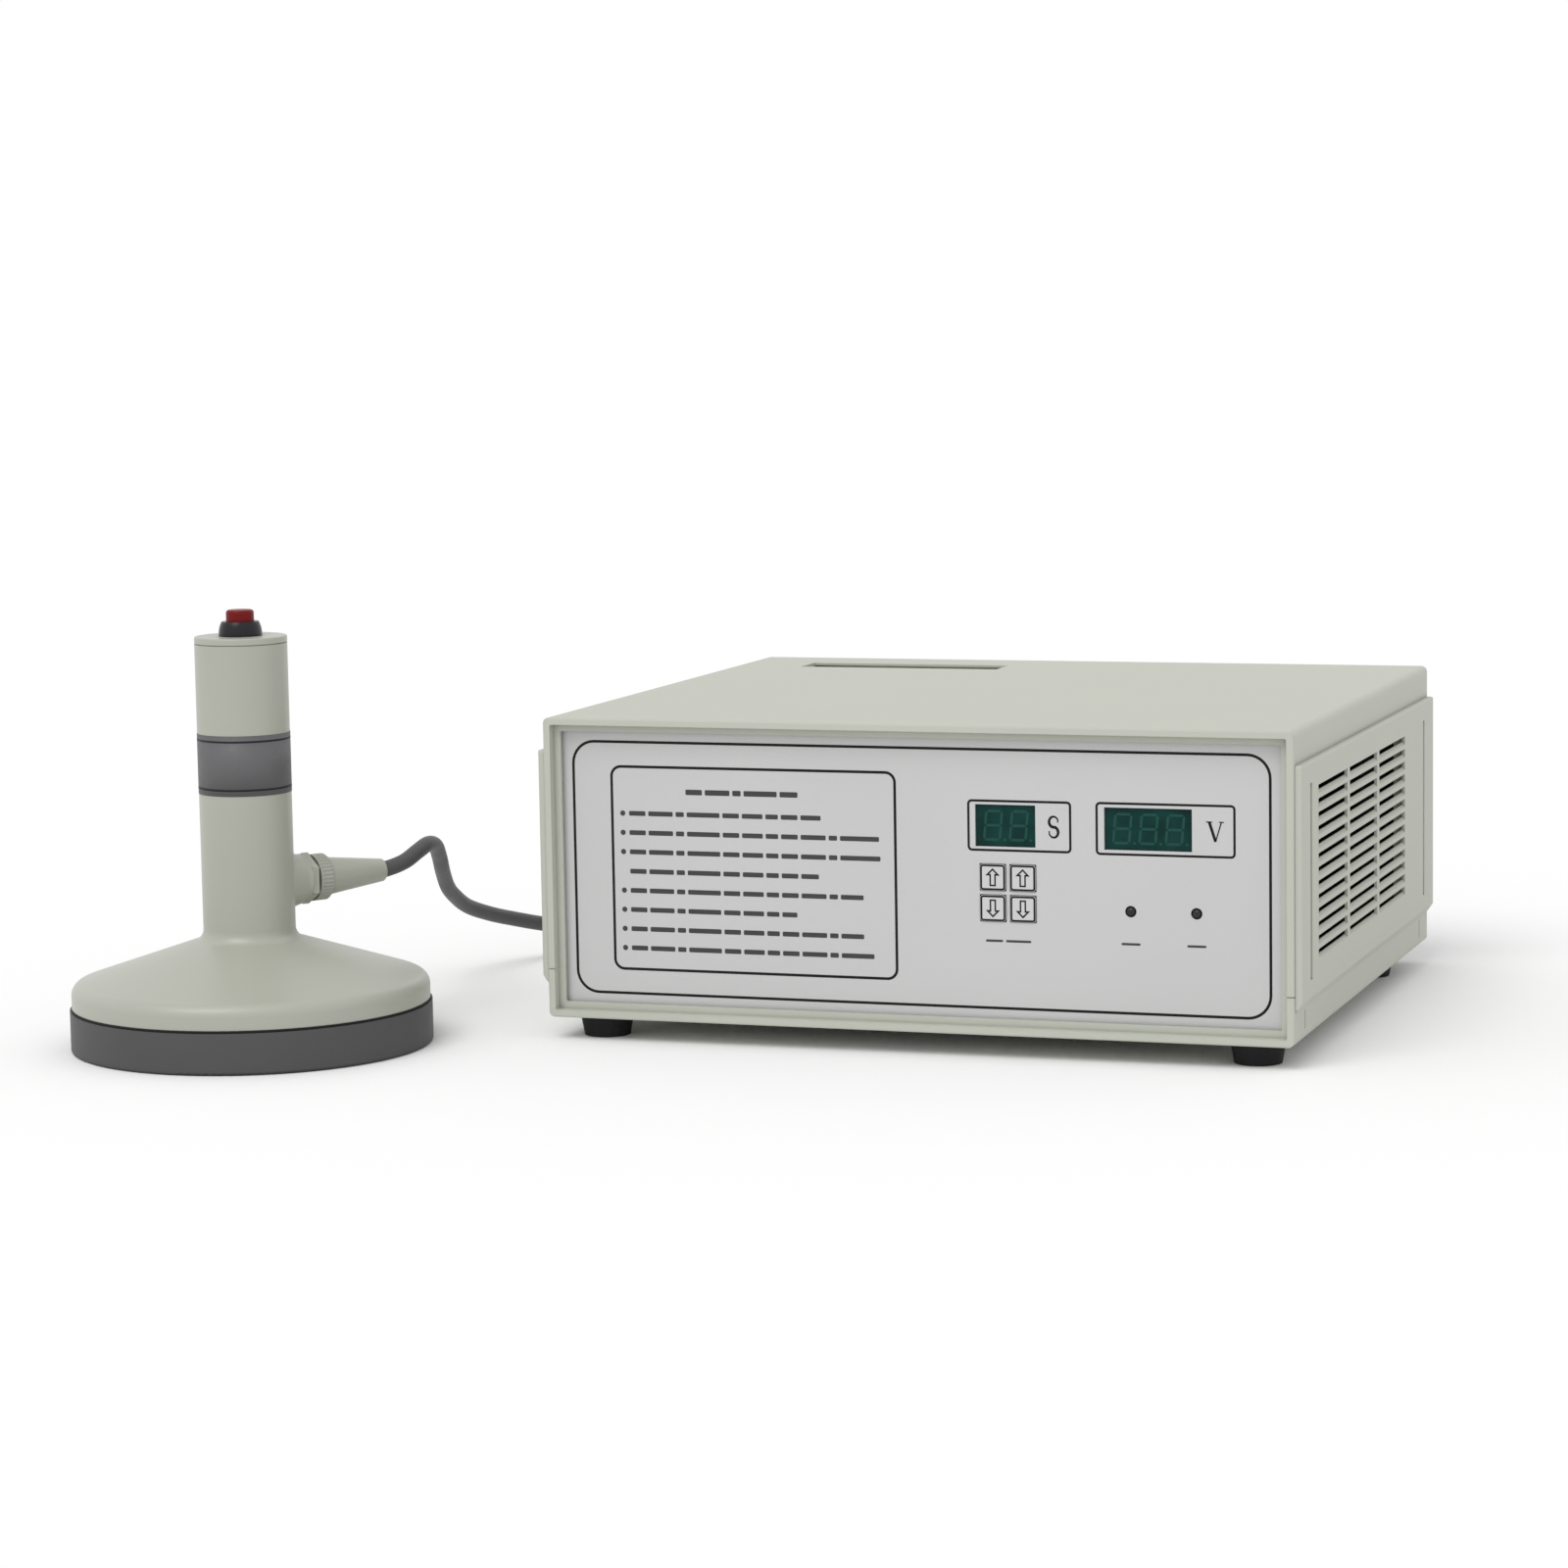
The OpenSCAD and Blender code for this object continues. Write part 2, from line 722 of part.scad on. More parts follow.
module pocket_hollow() {
  left = pocket_left - case_w / 2;
  front = case_d / 2 - pocket_rear - pocket_d;
  translate([left, front, case_h - pocket_depth]) cube([pocket_w, pocket_d, pocket_depth + over]);
  translate([left, front, case_h - pocket_depth])
    cube([pocket_w, pocket_d + pocket_undercut, pocket_depth - pocket_lip]);
}

module top_cover() {
  color(shell_colour) at_case() difference() {
    union() {
      intersection() {
        case_shell();
        slab(tray_h, case_h + over);
      }
      at_feet() translate([0, 0, tray_h]) cylinder(r = column_r, h = case_h - wall - tray_h);
      pocket_tub();
    }
    pocket_hollow();
    at_feet() translate([0, 0, tray_h - over]) cylinder(r = case_screw_r + run, h = pilot_l + over);
    translate([0, vent_y, vent_z]) cube([case_w + 2 * over, window_len, window_high], center = true);
  }
}

// Vented side panels, drawn for the right side
module vent_slit() {
  inner = side_t - vent_t;
  slope = slit_draft / vent_t;
  rotate([90, 0, 0]) linear_extrude(slit_len, center = true) polygon([
    [side_t + over, 0], [inner - over, 0], [inner - over, slope * over - slit_throat],
    [side_t + over, -slope * over - slit_h]
  ]);
}

module side_plate() {
  intersection() {
    rotate([90, 0, 0]) linear_extrude(side_len, center = true) {
      polygon([
        [0, 0], [side_foot_t, 0], [side_t, side_bevel], [side_t, side_h - side_r],
        [side_t - side_r, side_h], [0, side_h]
      ]);
      translate([side_t - side_r, side_h - side_r]) circle(side_r);
    }
    linear_extrude(side_h) rounded_rect([2 * side_t, side_len], side_r);
    translate([0, 0, side_h / 2]) rotate([90, 0, 90])
      linear_extrude(side_t) rounded_rect([side_len, side_h], side_r);
  }
}

module side_panel() {
  hollow = wall + over + side_t - vent_t;
  translate([case_w / 2, 0, 0]) difference() {
    union() {
      translate([0, 0, side_low]) side_plate();
      translate([-wall / 2, vent_y, vent_z])
        cube([wall, window_len - 2 * fit, window_high - 2 * fit], center = true);
    }
    translate([side_t - vent_t - hollow / 2, vent_y, vent_z])
      cube([hollow, window_len - 2 * (fit + rim_t), window_high - 2 * (fit + rim_t)], center = true);
    for (bay = [0:vent_bays - 1], row = [0:vent_rows - 1])
      translate([0, vent_y - vent_len / 2 + slit_len / 2 + bay * bay_pitch,
        vent_z + vent_h / 2 - row * slit_pitch]) vent_slit();
    for (y = [-side_len / 2 + flute_front, side_len / 2 - flute_rear])
      translate([side_t - flute_depth, y - flute_w / 2, side_low + flute_foot])
        cube([flute_depth + over, flute_w, side_h - flute_foot - flute_head]);
  }
}

module side_panel_left() {
  color(shell_colour) at_case() mirror([1, 0, 0]) side_panel();
}

module side_panel_right() {
  color(shell_colour) at_case() side_panel();
}

// Front panel and what it carries
module front_panel() {
  color([0.76, 0.77, 0.78]) difference() {
    on_front(0, case_h / 2) translate([0, 0, panel_back])
      linear_extrude(panel_t) square([panel_w, panel_h], center = true);
    on_front(0, 0) translate([0, 0, panel_back - over]) linear_extrude(panel_t + 2 * over) {
      for (w = [[time_x, 2], [volt_x, 3]])
        translate([w[0], window_z]) square([w[1] * digit_w + 2 * window_side, window_h], center = true);
      at_keys() square(key_w + 2 * slide_gap, center = true);
      for (side = [-1, 1]) translate([lamp_x + side * lamp_gap / 2, lamp_z]) circle(lamp_r + fit);
    }
  }
}

module display_window(x, digits) {
  color([0.05, 0.2, 0.18]) on_front(x, window_z) translate([0, 0, panel_back + fit])
    linear_extrude(window_t)
      square([digits * digit_w + 2 * (window_side - fit), window_h - 2 * fit], center = true);
}

module time_window() {
  display_window(time_x, 2);
}

module voltage_window() {
  display_window(volt_x, 3);
}

module display(x, digits) {
  color(black) on_front(x, window_z) translate([0, 0, board_front])
    linear_extrude(display_d) square([digits * digit_w, digit_h], center = true);
}

module time_display() {
  display(time_x, 2);
}

module voltage_display() {
  display(volt_x, 3);
}

module key_cap(column, row) {
  color([0.8, 0.81, 0.82])
    on_front(key_x + column * key_pitch / 2, key_z + row * key_pitch / 2)
      translate([0, 0, key_back]) linear_extrude(key_proud - key_back) rounded_rect([key_w, key_w], 1.5);
}

module tens_up_key() {
  key_cap(-1, 1);
}

module units_up_key() {
  key_cap(1, 1);
}

module tens_down_key() {
  key_cap(-1, -1);
}

module units_down_key() {
  key_cap(1, -1);
}

module key_switches() {
  color(black) on_front(0, 0) at_keys() translate([0, 0, board_front]) {
    linear_extrude(tact_h) square(tact_w, center = true);
    cylinder(r = tact_plunger_r, h = tact_plunger_h);
  }
}

module lamp(side) {
  flange_h = 1;
  flange_low = panel_back - fit - flange_h;
  color([0.25, 0.3, 0.2]) on_front(lamp_x + side * lamp_gap / 2, lamp_z) {
    translate([0, 0, lamp_proud - lamp_r]) sphere(lamp_r);
    translate([0, 0, flange_low]) cylinder(r = lamp_r, h = lamp_proud - lamp_r - flange_low);
    translate([0, 0, flange_low]) cylinder(r = lamp_r + 0.5, h = flange_h);
    for (leg = [-1, 1])
      translate([leg * lamp_r / 2, 0, board_front]) cylinder(r = 0.3, h = flange_low - board_front);
  }
}

module left_lamp() {
  lamp(-1);
}

module right_lamp() {
  lamp(1);
}

module control_board() {
  color(board_green) on_front(control_mid[0], control_mid[1])
    translate([0, 0, board_front - pcb_t]) difference() {
      linear_extrude(pcb_t) square([control_w, control_h], center = true);
      at_control_holes() translate([0, 0, -over]) cylinder(r = screw_r + fit, h = pcb_t + 2 * over);
    }
}

module board_spacers() {
  color([0.75, 0.62, 0.3]) on_front(control_mid[0], control_mid[1]) at_control_holes()
    translate([0, 0, board_front]) difference() {
      hex_prism(spacer_af, board_gap);
      translate([0, 0, -over]) cylinder(r = screw_r + run, h = board_gap - fit);
    }
}

module machine_screws() {
  color(steel) {
    at_case() at_power_holes() translate([0, 0, deck_z])
      pan_screw(screw_r, screw_l, screw_head_r, screw_head_h);
    on_front(control_mid[0], control_mid[1]) at_control_holes() translate([0, 0, board_front - pcb_t])
      rotate([180, 0, 0]) pan_screw(screw_r, screw_l, screw_head_r, screw_head_h);
    on_rear(inlet_x, inlet_z) for (side = [-1, 1]) translate([side * inlet_hole, 0, flange_t])
      pan_screw(screw_r, screw_l, screw_head_r, screw_head_h);
  }
}

// Power board and what stands on it
module power_board() {
  color(board_green) at_case() difference() {
    translate([0, power_y, power_z]) linear_extrude(pcb_t) square([power_w, power_l], center = true);
    at_power_holes() translate([0, 0, power_z - over]) cylinder(r = screw_r + fit, h = pcb_t + 2 * over);
  }
}

module heat_sink() {
  color(steel) at_case() translate([fan_x - sink_w / 2, sink_y - sink_l / 2, deck_z]) {
    cube([sink_w, sink_l, sink_base]);
    for (fin = [0:fin_count - 1]) translate([fin * fin_pitch, 0, 0]) cube([fin_t, sink_l, sink_h]);
  }
}

module power_transistors() {
  color(black) at_case() for (place = [-1.5:1:1.5])
    translate([fan_x - sink_w / 2 - device_t, sink_y + place * device_pitch, deck_z]) {
      translate([0, -device_w / 2, device_lift]) cube([device_t, device_w, device_h]);
      for (leg = [-1:1])
        translate([device_t / 2, leg * leg_pitch - leg_w / 2, 0]) cube([leg_w / 2, leg_w, device_lift]);
    }
}

module transformer_core() {
  color([0.2, 0.2, 0.22]) at_case() translate([core_x, core_y, deck_z + core_h / 2])
    rotate([90, 0, 0]) linear_extrude(core_d, center = true) difference() {
      square([core_w, core_h], center = true);
      for (side = [-1, 1]) translate([side * (core_mid + core_window_w) / 2, 0])
        square([core_window_w, core_window_h], center = true);
    }
}

module transformer_winding() {
  outer = [core_mid + 2 * winding_t, core_d + 2 * winding_t];
  color([0.72, 0.42, 0.2]) at_case() translate([core_x, core_y, deck_z + core_h / 2])
    linear_extrude(core_window_h - 2 * fit, center = true) difference() {
      rounded_rect(outer, 4);
      square([core_mid + 2 * fit, core_d + 2 * fit], center = true);
    }
}

module filter_capacitors() {
  groove_r = 1.2;
  color([0.1, 0.12, 0.3]) at_case() for (place = [0:2])
    translate([cap_x0 + place * cap_pitch, cap_y, deck_z]) difference() {
      cylinder(r = cap_r, h = cap_h);
      translate([0, 0, cap_h - 5]) rotate_extrude() translate([cap_r, 0]) circle(groove_r);
    }
}

// Rear panel and what it carries
module rear_panel() {
  color([0.3, 0.31, 0.32]) difference() {
    on_rear(0, case_h / 2) translate([0, 0, panel_back])
      linear_extrude(panel_t) square([panel_w, panel_h], center = true);
    on_rear(fan_x, fan_z) translate([0, 0, panel_back - over]) {
      cylinder(r = fan_r, h = panel_t + 2 * over);
      at_fan_holes() cylinder(r = fan_screw_r + fit, h = panel_t + 2 * over);
    }
    on_rear(inlet_x, inlet_z) translate([0, 0, panel_back - over]) linear_extrude(panel_t + 2 * over) {
      square([shroud_w + 2 * fit, shroud_h + 2 * fit], center = true);
      for (side = [-1, 1]) translate([side * inlet_hole, 0]) circle(screw_r + run);
    }
    on_rear(switch_x, switch_z) translate([0, 0, panel_back - over]) linear_extrude(panel_t + 2 * over)
      square([well_w + 2 * (switch_wall + fit), well_h + 2 * (switch_wall + fit)], center = true);
    on_rear(outlet_x, outlet_z) translate([0, 0, panel_back - over])
      cylinder(r = thread_r + fit, h = panel_t + 2 * over);
  }
}

module fan_frame() {
  color(black) on_rear(fan_x, fan_z) translate([0, 0, panel_back]) {
    difference() {
      translate([0, 0, -fan_depth]) linear_extrude(fan_depth) rounded_rect([fan_w, fan_w], 4);
      translate([0, 0, -fan_depth - over]) cylinder(r = fan_r, h = fan_depth + 2 * over);
      at_fan_holes() translate([0, 0, -fan_depth - over])
        cylinder(r = fan_screw_r + run, h = fan_depth + 2 * over);
    }
    translate([0, 0, -fan_depth]) difference() {
      union() {
        cylinder(r = hub_r - 1, h = spider_t);
        cylinder(r = bearing_r, h = spider_t + bearing_l);
        for (turn = [0, 90]) rotate(turn + 45)
          translate([-fan_r - over, -strut_w / 2, 0]) cube([2 * (fan_r + over), strut_w, spider_t]);
      }
      translate([0, 0, -over]) cylinder(r = axle_r + run, h = spider_t + bearing_l + 2 * over);
    }
  }
}

module fan_blade() {
  reach = fan_r - blade_gap;
  height = rotor_top - rotor_low - 2;
  intersection() {
    translate([0, 0, rotor_low]) tube(reach, hub_r - 1, rotor_top - rotor_low);
    translate([hub_r - 1, 0, (rotor_low + rotor_top) / 2]) rotate([blade_pitch_angle, 0, 0])
      translate([0, -blade_t / 2, -height]) cube([reach, blade_t, 2 * height]);
  }
}

module fan_rotor() {
  color([0.16, 0.16, 0.17]) on_rear(fan_x, fan_z) translate([0, 0, panel_back]) {
    difference() {
      translate([0, 0, rotor_low]) cylinder(r = hub_r, h = rotor_top - rotor_low);
      translate([0, 0, rotor_low - over])
        cylinder(r = hub_r - cup_wall, h = rotor_top - rotor_low - cup_wall + over);
    }
    translate([0, 0, rotor_low]) cylinder(r = axle_r, h = rotor_top - rotor_low - over);
    for (blade = [0:blade_count - 1]) rotate(blade * 360 / blade_count) fan_blade();
  }
}

module fan_guard() {
  diagonal = fan_hole * sqrt(2);
  eye_r = fan_screw_r + fit + wire_r;
  color(steel) on_rear(fan_x, fan_z) {
    for (turn = [45, 135]) rotate(turn) translate([eye_r - diagonal, 0, wire_r]) rotate([0, 90, 0])
      cylinder(r = wire_r, h = 2 * (diagonal - eye_r));
    at_fan_holes() translate([0, 0, wire_r]) rotate_extrude() translate([eye_r, 0]) circle(wire_r);
    for (ring = [0:guard_rings - 1]) translate([0, 0, 2.6 * wire_r])
      rotate_extrude() translate([fan_r - 1 - ring * guard_step, 0]) circle(wire_r);
  }
}

module fan_screws() {
  color(steel) on_rear(fan_x, fan_z) at_fan_holes() translate([0, 0, 2 * wire_r])
    pan_screw(fan_screw_r, fan_screw_l, 2 * fan_screw_r, 2.4);
}

module at_blades() {
  translate([0, -blade_gap_y]) children();
  for (side = [-1, 1]) translate([side * blade_gap_x, blade_gap_y]) children();
}

module power_inlet() {
  color(black) on_rear(inlet_x, inlet_z) difference() {
    union() {
      linear_extrude(flange_t) rounded_rect([inlet_w, inlet_h], 4);
      translate([0, 0, shroud_back]) linear_extrude(-shroud_back + over)
        square([shroud_w, shroud_h], center = true);
    }
    translate([0, 0, flange_t - socket_depth]) linear_extrude(socket_depth + over) polygon([
      [-socket_w / 2, socket_h / 2], [socket_w / 2, socket_h / 2],
      [socket_w / 2, socket_cut - socket_h / 2], [socket_w / 2 - socket_cut, -socket_h / 2],
      [socket_cut - socket_w / 2, -socket_h / 2], [-socket_w / 2, socket_cut - socket_h / 2]
    ]);
    translate([0, 0, shroud_back - over]) linear_extrude(flange_t - shroud_back) at_blades()
      square([blade_w + 2 * run, blade_h + 2 * run], center = true);
    for (side = [-1, 1]) translate([side * inlet_hole, 0, -over])
      cylinder(r = screw_r + fit, h = flange_t + 2 * over);
  }
}

module inlet_pins() {
  color(steel) on_rear(inlet_x, inlet_z) translate([0, 0, shroud_back - 7])
    linear_extrude(-shroud_back + 6) at_blades() square([blade_w, blade_h], center = true);
}

module switch_frame() {
  body = [well_w + 2 * switch_wall, well_h + 2 * switch_wall];
  color(black) on_rear(switch_x, switch_z) difference() {
    union() {
      linear_extrude(switch_rim_t)
        rounded_rect([body[0] + 2 * switch_rim, body[1] + 2 * switch_rim], 1.5);
      translate([0, 0, -switch_depth]) linear_extrude(switch_depth + over) square(body, center = true);
    }
    translate([0, 0, switch_rim_t - well_depth - over]) linear_extrude(well_depth + 2 * over)
      square([well_w, well_h], center = true);
    translate([0, 0, pivot_z]) rotate([0, 90, 0])
      cylinder(r = rocker_pin_r + run, h = body[0] + over, center = true);
  }
}

module power_rocker() {
  color([0.13, 0.13, 0.13]) on_rear(switch_x, switch_z) translate([0, 0, pivot_z])
    rotate([rocker_tilt, 0, 0]) {
      intersection() {
        rotate([90, 0, 90]) linear_extrude(rocker_w, center = true) polygon([
          [-rocker_r, rocker_high], [0, rocker_dip], [rocker_r, rocker_high],
          [rocker_r, -rocker_low], [-rocker_r, -rocker_low]
        ]);
        rotate([0, 90, 0]) cylinder(r = rocker_r, h = rocker_w + over, center = true);
      }
      rotate([0, 90, 0]) cylinder(r = rocker_pin_r, h = rocker_w + 2 * rocker_pin_l, center = true);
    }
}

// Cable glands, drawn with the seat at zero and the axis along +Z
module gland_body() {
  hex_prism(collar_af, collar_h);
  translate([0, 0, -stub_l]) cylinder(r = thread_r, h = stub_l + over);
  cylinder(r = neck_r, h = ring_top - ring_lid - 2 * fit);
}

module gland_ring() {
  difference() {
    translate([0, 0, ring_low]) cylinder(r = ring_r, h = ring_l);
    translate([0, 0, ring_low - over]) cylinder(r = neck_r + fit, h = ring_l - ring_lid + over);
    cylinder(r = stem_r + fit, h = ring_top + over);
    for (grip = [0:grip_count - 1]) rotate(grip * 360 / grip_count)
      translate([ring_r + grip_r / 3, 0, ring_low + 1]) cylinder(r = grip_r, h = ring_l, $fn = 16);
  }
}

module gland_boot() {
  tip_edge = 0.8;
  translate([0, 0, ring_top - ring_lid]) cylinder(r = stem_r, h = ring_lid + over);
  rotate_extrude() polygon([
    [0, ring_top], [boot_r, ring_top], [boot_r, ring_top + 3], [boot_tip_r, boot_tip - tip_edge],
    [boot_tip_r - tip_edge, boot_tip], [0, boot_tip]
  ]);
}

module case_gland_body() {
  color(handle_colour) on_rear(outlet_x, outlet_z) gland_body();
}

module case_gland_ring() {
  color(handle_colour) on_rear(outlet_x, outlet_z) gland_ring();
}

module case_gland_boot() {
  color(handle_colour) on_rear(outlet_x, outlet_z) gland_boot();
}

module case_gland_nut() {
  color(handle_colour) on_rear(outlet_x, outlet_z) translate([0, 0, panel_back - locknut_h]) difference() {
    hex_prism(collar_af, locknut_h);
    translate([0, 0, -over]) cylinder(r = thread_r + run, h = locknut_h + 2 * over);
  }
}

// Feet and the screws that hold feet, tray and cover together
module foot(side, y) {
  color(black) translate([case_x + side * foot_x, case_y + y, 0]) difference() {
    cylinder(r1 = foot_tip_r, r2 = foot_r, h = foot_h);
    translate([0, 0, -over]) cylinder(r = head_r + 1, h = foot_sink + over);
    translate([0, 0, -over]) cylinder(r = case_screw_r + fit, h = foot_h + 2 * over);
  }
}

module foot_front_left() {
  foot(-1, foot_front_y);
}

module foot_front_right() {
  foot(1, foot_front_y);
}

module foot_rear_left() {
  foot(-1, foot_rear_y);
}

module foot_rear_right() {
  foot(1, foot_rear_y);
}

module case_screws() {
  length = foot_h - foot_sink + tray_h + pilot_l - 2;
  color(steel) translate([case_x, case_y, foot_sink]) at_feet()
    rotate([180, 0, 0]) pan_screw(case_screw_r, length, head_r, head_h);
}

// Sealing head
module shell_outline() {
  difference() {
    union() {
      polygon([
        [0, shell_low], [shell_r, shell_low], [shell_r, shoulder_z], [cone_x, cone_z],
        [foot_cone_x, foot_cone_z], [fillet_x, fillet_z], [handle_r, fillet_z],
        [handle_r, handle_top], [0, handle_top]
      ]);
      translate([shoulder_x, shoulder_z]) circle(shoulder_r);
    }
    translate([fillet_x, fillet_z]) circle(handle_fillet);
  }
}

module head_shell() {
  color(handle_colour) difference() {
    union() {
      difference() {
        union() {
          rotate_extrude($fn = 96) shell_outline();
          on_handle() translate([0, 0, -gland_reach]) cylinder(r = boss_r, h = gland_reach);
          on_handle() translate([0, 0, -gland_reach])
            cylinder(r1 = boss_r + gland_reach / 4, r2 = boss_r - 0.5, h = gland_reach - 1);
        }
        rotate_extrude($fn = 96) polygon([
          [0, shell_low - over], [hollow_r, shell_low - over], [hollow_r, hollow_z], [bore_r, throat_z],
          [bore_r, handle_top + over], [0, handle_top + over]
        ]);
      }
      at_head_screws() translate([0, 0, shell_low]) cylinder(r = head_boss_r, h = head_boss_top - shell_low);
    }
    at_head_screws() translate([0, 0, shell_low - over]) cylinder(r = head_screw_r + run, h = 8 + over);
    on_handle() translate([0, 0, -gland_reach]) cylinder(r = thread_r + run, h = gland_reach + over);
  }
}

module handle_cap() {
  color(handle_colour) difference() {
    union() {
      translate([0, 0, handle_top]) rotate_extrude() {
        polygon([
          [0, 0], [handle_r - cap_seam, 0], [handle_r, cap_seam], [handle_r, cap_t - cap_edge],
          [0, cap_t - cap_edge]
        ]);
        translate([0, cap_seam]) square([handle_r - cap_edge, cap_t - cap_seam]);
        translate([handle_r - cap_edge, cap_t - cap_edge]) intersection() {
          circle(cap_edge);
          square(cap_edge);
        }
      }
      translate([0, 0, handle_top - spigot_l]) tube(bore_r - fit, bore_r - fit - spigot_wall, spigot_l + over);
    }
    translate([0, 0, handle_top - over]) cylinder(r = barrel_r + fit, h = cap_t + 2 * over);
  }
}

module switch_bezel() {
  color(black) translate([0, 0, cap_top]) difference() {
    union() {
      rotate_extrude() {
        square([bezel_r, bezel_base]);
        translate([0, bezel_base]) intersection() {
          translate([bezel_r - bezel_bulge, 0]) circle(bezel_bulge, $fn = 96);
          square([bezel_r, bezel_h - bezel_base]);
        }
      }
      translate([0, 0, -barrel_l]) cylinder(r = barrel_r, h = barrel_l + over);
    }
    translate([0, 0, -barrel_l - over])
      cylinder(r = button_r + slide_gap, h = barrel_l + bezel_h + 2 * over);
  }
}

module trigger_button() {
  top = bezel_h + button_proud;
  color([0.75, 0.08, 0.08]) translate([0, 0, cap_top]) rotate_extrude() {
    translate([0, button_low]) square([button_r, top - button_edge - button_low]);
    translate([0, button_low]) square([button_r - button_edge, top - button_low]);
    translate([button_r - button_edge, top - button_edge]) intersection() {
      circle(button_edge);
      square(button_edge);
    }
  }
}

module switch_body() {
  plunger_r = 3;
  tab = [0.8, 5, 7];
  color([0.2, 0.2, 0.2]) translate([0, 0, cap_top - barrel_l - block_l]) {
    cylinder(r = barrel_r, h = block_l);
    cylinder(r = plunger_r, h = block_l + barrel_l + plunger_top);
    for (side = [-1, 1]) translate([side * barrel_r / 2, 0, -tab[2] / 2]) cube(tab, center = true);
  }
}

module switch_nut() {
  color(steel) translate([0, 0, handle_top - nut_h]) difference() {
    hex_prism(nut_af, nut_h);
    translate([0, 0, -over]) cylinder(r = barrel_r + run, h = nut_h + 2 * over);
  }
}

module sealing_plate() {
  head_sink = 4;
  color([0.32, 0.32, 0.33]) difference() {
    rotate_extrude($fn = 96) {
      translate([0, plate_edge]) square([plate_r, plate_h - plate_edge]);
      square([plate_r - plate_edge, plate_h]);
      translate([plate_r - plate_edge, plate_edge]) circle(plate_edge);
    }
    translate([0, 0, sole_t]) cylinder(r = cavity_r, h = plate_h);
    at_head_screws() translate([0, 0, -over]) {
      cylinder(r = head_screw_r + fit, h = plate_h + 2 * over);
      cylinder(r = head_sink_r + fit, h = head_sink + over);
    }
  }
}

module shell_gasket() {
  color(black) translate([0, 0, plate_h]) tube(gasket_r, gasket_r - gasket_w, gasket_t);
}

module induction_coil() {
  color([0.7, 0.4, 0.2]) translate([0, 0, coil_z]) for (turn = [0:coil_turns - 1]) {
    rotate_extrude(angle = 180) translate([coil_r + turn * coil_pitch, 0]) circle(coil_wire_r);
    translate([coil_pitch / 2, 0, 0]) rotate(180)
      rotate_extrude(angle = 180) translate([coil_r + (turn + 0.5) * coil_pitch, 0]) circle(coil_wire_r);
  }
}

module ferrite_bars() {
  color([0.15, 0.15, 0.17]) for (bar = [0:ferrite_count - 1]) rotate(bar * 360 / ferrite_count)
    translate([ferrite_r, -ferrite_w / 2, coil_z + coil_wire_r]) cube([ferrite_l, ferrite_w, ferrite_h]);
}

module head_screws() {
  head_low = 1.6;
  head_high = 4;
  color(steel) at_head_screws() translate([0, 0, head_low]) {
    cylinder(r = head_sink_r, h = head_high - head_low);
    cylinder(r = head_screw_r, h = head_screw_top - head_low);
  }
}

module head_gland_body() {
  color(handle_colour) on_handle() gland_body();
}

module head_gland_ring() {
  color(handle_colour) on_handle() gland_ring();
}

module head_gland_boot() {
  color(handle_colour) on_handle() gland_boot();
}

// Cable: a round tube swept along a smooth curve through the route's points
function unit(v) = v / norm(v);
function curve_point(p, i, t) =
  0.5 * (2 * p[i] + (p[i + 1] - p[i - 1]) * t
    + (2 * p[i - 1] - 5 * p[i] + 4 * p[i + 1] - p[i + 2]) * t * t
    + (3 * p[i] - p[i - 1] - 3 * p[i + 1] + p[i + 2]) * t * t * t);
function smooth_curve(p, steps) = [
  for (i = [1:len(p) - 3], s = [0:steps - 1]) curve_point(p, i, s / steps),
  p[len(p) - 2]
];
function tangent(p, i, first, last) =
  i == 0 ? first : i == len(p) - 1 ? last : unit(p[i + 1] - p[i - 1]);
function ring_points(centre, along, r, sides) =
  let (across = unit(cross(along, [0, 0, 1])), up = cross(across, along))
  [for (k = [0:sides - 1]) centre + r * (cos(k * 360 / sides) * across + sin(k * 360 / sides) * up)];

module swept_tube(line, first, last, r, sides) {
  rings = len(line);
  points = [for (i = [0:rings - 1]) each ring_points(line[i], tangent(line, i, first, last), r, sides)];
  walls = [
    for (i = [0:rings - 2], k = [0:sides - 1])
      let (a = i * sides + k, b = i * sides + (k + 1) % sides)
      each [[a, b, a + sides], [b, b + sides, a + sides]]
  ];
  start = [for (k = [sides - 1:-1:0]) k];
  end = [for (k = [0:sides - 1]) (rings - 1) * sides + k];
  polyhedron(points, concat([start], walls, [end]));
}

module head_cable() {
  into_case = [0, -1, 0];
  knots = concat(
    [head_exit - cable_lead * head_axis, head_exit], route,
    [case_exit, case_exit + cable_lead * into_case]
  );
  color([0.3, 0.3, 0.31])
    swept_tube(smooth_curve(knots, cable_steps), head_axis, into_case, cable_d / 2, cable_sides);
}

base_tray();
top_cover();
side_panel_left();
side_panel_right();
front_panel();
rear_panel();
time_window();
voltage_window();
time_display();
voltage_display();
tens_up_key();
units_up_key();
tens_down_key();
units_down_key();
key_switches();
left_lamp();
right_lamp();
control_board();
board_spacers();
machine_screws();
power_board();
heat_sink();
power_transistors();
transformer_core();
transformer_winding();
filter_capacitors();
fan_frame();
fan_rotor();
fan_guard();
fan_screws();
power_inlet();
inlet_pins();
switch_frame();
power_rocker();
case_gland_body();
case_gland_ring();
case_gland_boot();
case_gland_nut();
foot_front_left();
foot_front_right();
foot_rear_left();
foot_rear_right();
case_screws();
head_shell();
handle_cap();
switch_bezel();
trigger_button();
switch_body();
switch_nut();
sealing_plate();
shell_gasket();
induction_coil();
ferrite_bars();
head_screws();
head_gland_body();
head_gland_ring();
head_gland_boot();
head_cable();
